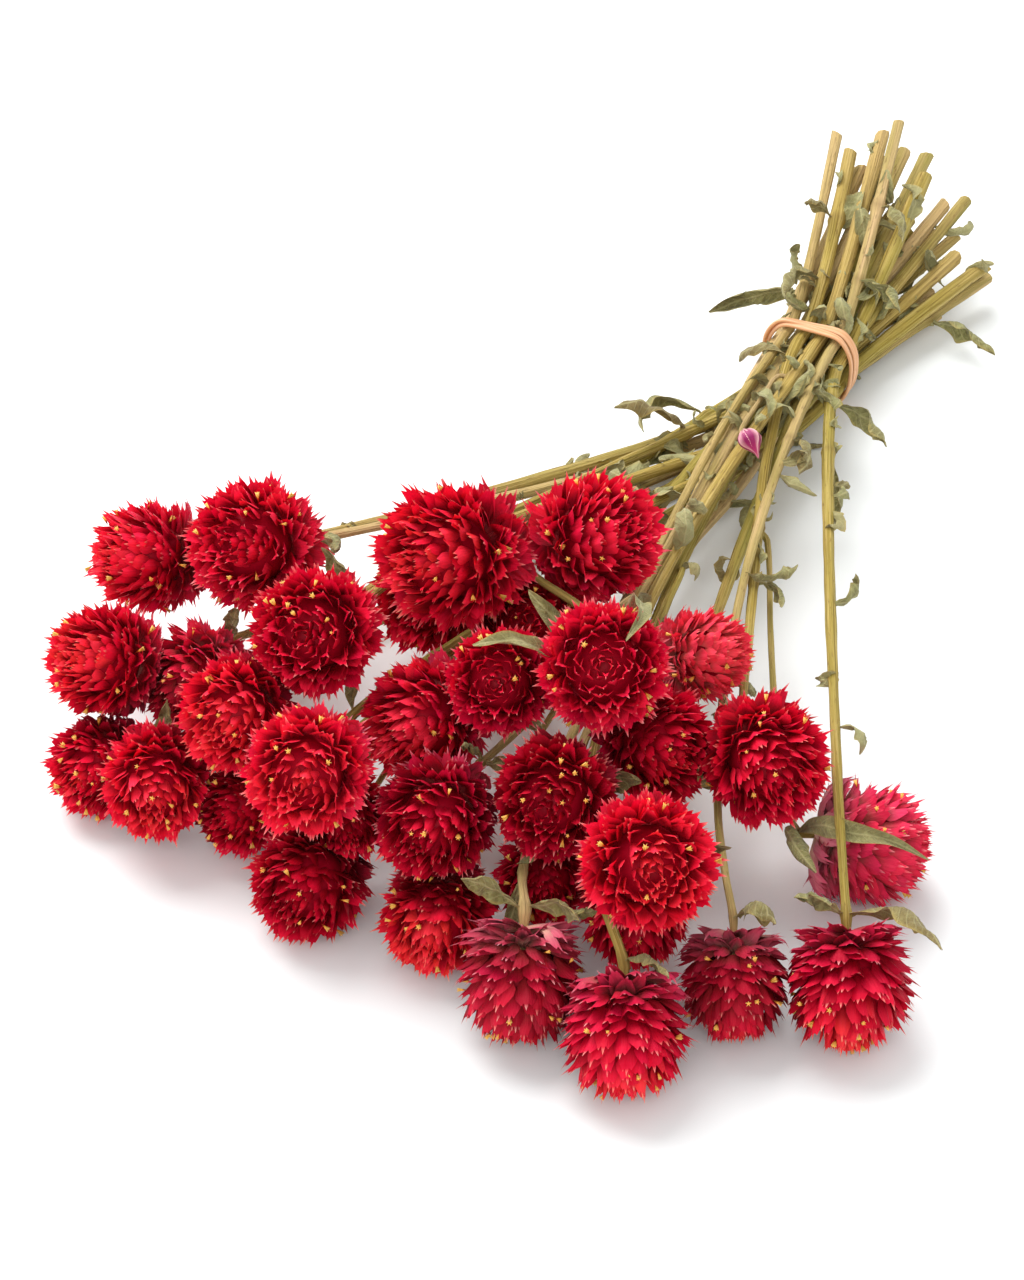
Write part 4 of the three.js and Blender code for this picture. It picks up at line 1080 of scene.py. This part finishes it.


# Redness of a head at its tip and at its foot, where 0 is orange-red and 1 is magenta. Then,
# where they aren't the usual ones: how far its oldest bracts have faded to pink, how far all of
# them have, and how much darker than the others its bracts are made (below zero, lighter)
SHADES = {
    "outer_left_back": (0.15, 0.75),
    "left_back": (0.45, 0.6, 0.3, 0.0, -0.4),
    "left_top": (0.5, 0.5),
    "outer_left": (0.0, 0.7, 0.3, 0.0, 0.3),
    "left_inner": (0.4, 0.8, 0.4, 0.05, 0.0),
    "left_middle": (0.0, 0.8, 0.15, 0.0, -0.5),
    "outer_left_low": (0.2, 0.8),
    "left_low": (0.1, 0.7, 0.15, 0.0, -0.3),
    "left_front": (0.1, 0.85, 0.15, 0.0, -0.5),
    "left_front_low": (0.3, 0.6, 0.15, 0.0, 0.8),
    "back_top": (0.1, 0.6),
    "back_right": (0.45, 0.7, 0.15, 0.0, -0.5),
    "middle_top": (0.4, 0.7),
    "crown": (0.5, 0.65, 0.15, 0.0, -0.3),
    "right_back": (0.0, 0.6, 0.6, 0.2, -0.9),
    "right_middle": (0.2, 0.9),
    "middle": (0.2, 0.9, 0.3, 0.0, -0.8),
    "middle_front": (0.3, 0.95, 0.15, 0.0, 0.8),
    "centre_dark": (0.35, 0.5, 0.15, 0.0, 1.0),
    "front_top": (0.1, 0.65, 0.15, 0.0, -0.2),
    "front_left_low": (0.0, 0.5, 0.15, 0.0, 0.4),
    "front_nodding": (0.2, 1.0, 0.55, 0.02, 1.3),
    "front_low": (0.0, 0.95, 0.2, 0.0, 0.7),
    "right_top": (0.35, 0.55),
    "outer_right": (0.5, 1.0, 1.0, 0.12, 0.0),
    "front_right_slim": (0.1, 1.0, 0.5, 0.02, 1.3),
    "front_right": (0.0, 0.9, 0.1, 0.0, 0.8),
}
USUAL_REDNESS, USUAL_FADING = (0.3, 0.7), (0.15, 0.0, 0.0)

papery_bracts = bract_material()
yellow_florets = floret_material()
for number, (name, head) in enumerate(heads.items()):
    if name == "bud":
        continue
    draw = np.random.default_rng(100 + number)
    limits = limits_around(head)
    build = Build()
    # The heart takes the painted shade of a bract's foot (along 0.1), darkened further by chance
    # 0.9
    build.add(*heart_of(head, limits), age=0.6, along=0.1, chance=0.9)
    first, last, old, all_over, dark = (*SHADES.get(name, USUAL_REDNESS), *USUAL_FADING)[:5]

    tip = (2.0 if old > 0.9 else 2.3) + 0.12 * draw.normal(size=BASE_BRACTS)
    every = np.ones(BASE_BRACTS)
    grid, facts = bract_grids(head, draw, tip, 0.25 * every, 0.13, np.full(4, 3.0 - tip.mean()))
    # Random tone, the head's own darkness, and painted shade from higher heads close by
    chance = draw.uniform(0, 0.6, BASE_BRACTS) + dark + painted_shade_from_higher_heads(head, facts)
    add_bracts(build, head, grid, facts, limits, chance, old * every, last * every)

    tip, spacing = spiral(int(80 + 9.0 * head.radius), draw)
    grid, facts = bract_grids(head, draw, tip, spacing)
    # Random tone, the head's own darkness, and painted shade from higher heads close by
    chance = draw.uniform(0, 1, len(tip)) ** 1.5 + dark + painted_shade_from_higher_heads(head, facts)
    # Painted light: near the apex of orange-red heads chance drops below zero, lifting the bracts
    # towards coral against the shade they cast on each other
    chance -= 1.3 * max(0, 1 - first / 0.3) * np.exp(-((tip / 0.7) ** 2))
    fade = all_over + (old - all_over) * np.clip((tip - 1.5) / 0.8, 0, 1) ** 2
    age = first + (last - first) * tip / LAST_TIP + 0.08 * draw.normal(size=len(tip))
    add_bracts(build, head, grid, facts, limits, chance, fade, age)
    add_florets(build, head, facts, limits, draw)

    piece = build.mesh("bracts_" + name, [papery_bracts, yellow_florets])
    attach(piece, "root")
    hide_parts("flower_head_" + name)


# ---------------------------------------------------------------------------
# The bud
# One unopened head on a thread-thin twig near the tie. Its few bracts are still folded
# over each other into a drop, and dried to a dull pink.
# ---------------------------------------------------------------------------
def bud_material():
    look = Finish("folded_bud")
    thread = look.threads(2.0, 0.5)
    colour = look.ramp(
        look.stored("along"), (0.0, (0.30, 0.22, 0.08)), (0.12, (0.45, 0.08, 0.20)),
        (0.4, (0.28, 0.008, 0.10)), (0.75, (0.55, 0.03, 0.16)), (1.0, (0.75, 0.16, 0.24)))
    colour = look.mix(look.fit(thread, 0, 1, 0.4, 0), colour, (0.13, 0.004, 0.06))
    pale = look.mix(thread, (0.85, 0.34, 0.42), (0.95, 0.66, 0.60))
    colour = look.mix(look.fit(look.stored("chance"), 0.45, 1.0, 0, 0.85), colour, pale)
    return look.dress({"Base Color": colour, "Specular IOR Level": 0.3}, thread, 0.0002, 0.6)


# Where each bract starts along the bud, and the bud's width along it
BUD_STARTS = [0.0, 0.0, 0.0, 0.02, 0.04, 0.0, 0.06]
BUD_PLACES = [0, 0.06, 0.16, 0.3, 0.42, 0.55, 0.68, 0.8, 0.9, 1.0]
BUD_WIDTHS = [0.10, 0.26, 0.46, 0.60, 0.60, 0.48, 0.29, 0.15, 0.09, 0.03]
bud = heads["bud"]
hang = facing(-35, -32)
side, other = side_ways(hang)
limits = limits_around(bud)
build = Build()
for k, start in enumerate(BUD_STARTS):
    v, u = np.meshgrid(np.linspace(start, 1, 18), np.linspace(-1, 1, 9), indexing="ij")
    turn = GOLDEN_TURN * k + u * np.interp(v, [0, 0.5, 0.8, 1], [1.0, 0.95, 0.7, 0.5])
    turn = (turn + 0.3 * np.sin(2.5 * v + k))[..., None]
    wide = np.interp(v, BUD_PLACES, BUD_WIDTHS) * (0.92 + 0.035 * k)
    wide = wide + (0.06 * np.abs(u) ** 3 + 0.02 * np.sin(5 * u + 7 * v + k)) * (1 - v)
    grid = bud.centre + bud.radius * (
        hang * (-0.86 + 1.9 * v)[..., None]
        + (side * np.cos(turn) + other * np.sin(turn)) * wide[..., None]
        + side * (0.16 * np.sin(v * 3.0) * v)[..., None])
    lay = np.stack([u * 2.5, v * 8, np.full_like(u, 10.0 * k)], -1)
    build.add_sheets(press_in(grid, bud, limits)[None], 0.12, lay=lay, along=v, chance=np.abs(u))
piece = build.mesh("bud_bracts", [bud_material()])
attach(piece, "root")
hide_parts("unopened_bud")


# ---------------------------------------------------------------------------
# The rubber band
# A plain tan rubber band, wound twice round the stems by hand. Its two turns lie side by
# side, and cross where it was slipped over.
# ---------------------------------------------------------------------------
def band_material():
    look = Finish("tan_rubber")
    thread = look.threads(2.0, 0.08, 3)
    colour = look.mix(thread, (0.70, 0.35, 0.16), (0.86, 0.54, 0.32))
    # Painted shade: darker orange on the band's inner face against the stems, at its edges and
    # along the groove of its outer face
    painted_shade_inside_and_in_groove = look.fit(look.stored("along"), 0, 1, 0.65, 0)
    return look.dress({
        "Base Color": look.mix(painted_shade_inside_and_in_groove, colour, (0.66, 0.24, 0.07)),
        "Roughness": look.fit(thread, 0, 1, 0.38, 0.55),
    }, thread, 0.0002, 0.5)


def band_reach(turn, off):
    """How far the band is from the middle of the tie, which it hugs like a stretched loop."""
    side = np.arange(48) * math.pi / 24
    at = np.array([[across * STEM_PITCH, height - TIE_HEIGHT] for _, across, height in TIE_SLOTS])
    hull = (at[:, :1] * np.cos(side) + at[:, 1:] * np.sin(side)).max(axis=0) + TIE_RADIUS + 0.35
    lean = np.cos(turn[..., None] - side)
    reach = (hull + off[..., None]) / np.maximum(lean, 0.05)
    reach = np.where(lean > 0.05, np.minimum(reach, 99), 99)
    return -np.log(np.exp(-reach * 3).sum(-1)) / 3 + 0.25


BAND_STEPS, BAND_SIDES = 260, 16
BAND_HALF_WIDTH, BAND_THINNESS = 0.98, 0.5
CROSSING, CROSSING_LENGTH, CROSSING_HEIGHT = 2.5, 0.55, 0.95
t = np.linspace(0, 4 * math.pi, BAND_STEPS, endpoint=False)
along_tie = TIE[1] + 1.7 * np.cos(t / 2 + 0.32) + 0.7 * np.sin(t + 0.6) + 0.15 * np.sin(3 * t)
cross = np.exp(-(((t - CROSSING) / CROSSING_LENGTH) ** 2))
corner = np.linspace(0, 2 * math.pi, BAND_SIDES, endpoint=False)
flat = np.sign(np.cos(corner)) * np.abs(np.cos(corner)) ** 0.7
tall = np.sign(np.sin(corner)) * np.abs(np.sin(corner)) ** 0.7 * BAND_THINNESS
screw = 0.35 * np.sin(t * 1.5 + 1.0)[:, None]
flat, tall = (BAND_HALF_WIDTH * (flat * np.cos(screw) - tall * np.sin(screw)),
              BAND_HALF_WIDTH * (flat * np.sin(screw) + tall * np.cos(screw)))
tall = tall + 0.5 - 0.22 * np.exp(-((flat / 0.2) ** 2)) * (np.sin(corner) > 0)
off = tall + (cross * CROSSING_HEIGHT)[:, None]
reach = band_reach(np.broadcast_to(t[:, None], off.shape), off)
rings = np.stack([
    TIE[0] + reach * np.cos(t)[:, None],
    along_tie[:, None] + flat,
    np.maximum(0.02, TIE_HEIGHT + reach * np.sin(t)[:, None]),
], -1)
ix = np.arange(BAND_STEPS * BAND_SIDES).reshape(BAND_STEPS, BAND_SIDES)
nxt = np.roll(ix, -1, 0)
quads = np.stack([np.roll(ix, -1, 1), np.roll(nxt, -1, 1), nxt, ix], -1)
lay = np.stack([flat, t[:, None] * 11 + 0 * reach, tall], -1)
# The lit part of the band, kept free of its painted shade: its outer face, less at the edges, not
# along the groove nor on the inner face
high = np.clip(0.5 + 0.5 * np.sin(corner), 0, 1) * (1 - 0.8 * np.exp(-((flat / 0.25) ** 2)))
build = Build()
build.add(rings.reshape(-1, 3), quads, lay=lay.reshape(-1, 3), along=high.ravel())
piece = build.mesh("band_turns", [band_material()])
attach(piece, "root")
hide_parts("rubber_band")


# ---------------------------------------------------------------------------
# The studio
# A plain pale table and soft light: a large lamp high behind on the left, a weaker one in
# front, and pale surroundings. The camera looks down on the heads from the front.
# ---------------------------------------------------------------------------
def table_material():
    look = Finish("pale_table")
    noise = look.node("ShaderNodeTexNoise", {"Scale": 40}, "Fac")
    return look.dress({
        "Base Color": look.mix(noise, (0.84, 0.865, 0.865), (0.86, 0.885, 0.885)),
        "Roughness": 0.8, "Specular IOR Level": 0.1,
    })


def placed_object(name, data, place, aim=None):
    made = bpy.data.objects.new(name, data)
    made.location = place
    if aim is not None:
        made.rotation_euler = (Vector(aim) - Vector(place)).to_track_quat("-Z", "Y").to_euler()
    bpy.context.scene.collection.objects.link(made)
    return made


TABLE_HALF, TABLE_DROP = 4, 0.0002
table = bpy.data.meshes.new("table_top")
corners = [(x * TABLE_HALF, y * TABLE_HALF, 0) for x, y in ((-1, -1), (1, -1), (1, 1), (-1, 1))]
table.from_pydata(corners, [], [(0, 1, 2, 3)])
table.materials.append(table_material())
placed_object("table_top", table, (0, 0, -TABLE_DROP))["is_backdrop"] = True

for name, place, aim, size, power in (
    ("high_lamp", (-0.9, 0.5, 1.5), (0, 0, 0), 1.7, 39),
    ("front_lamp", (0.4, -1.5, 1.1), (0, -0.05, 0), 1.4, 12),
):
    lamp = bpy.data.lights.new(name, "AREA")
    lamp.shape, lamp.size, lamp.energy = "DISK", size, power
    placed_object(name, lamp, place, aim)
world = bpy.data.worlds.new("pale_room")
world.use_nodes = True
world.node_tree.nodes["Background"].inputs["Color"].default_value = (1, 1, 1, 1)
world.node_tree.nodes["Background"].inputs["Strength"].default_value = 0.85
bpy.context.scene.world = world
bpy.context.scene.view_settings.view_transform = "Standard"

CAMERA_WAY, CAMERA_DISTANCE = Vector((0.3116, -0.6998, 0.6428)), 1.2549
target = Vector((-BUNCH_MIDDLE[0] / 1000, -BUNCH_MIDDLE[1] / 1000, 0))
camera = bpy.data.cameras.new("camera")
camera.lens, camera.sensor_width = 150, 36
camera.clip_start, camera.clip_end = 0.05, 20
eye = target + CAMERA_DISTANCE * CAMERA_WAY
bpy.context.scene.camera = placed_object("camera", camera, eye, target)

low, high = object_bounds()
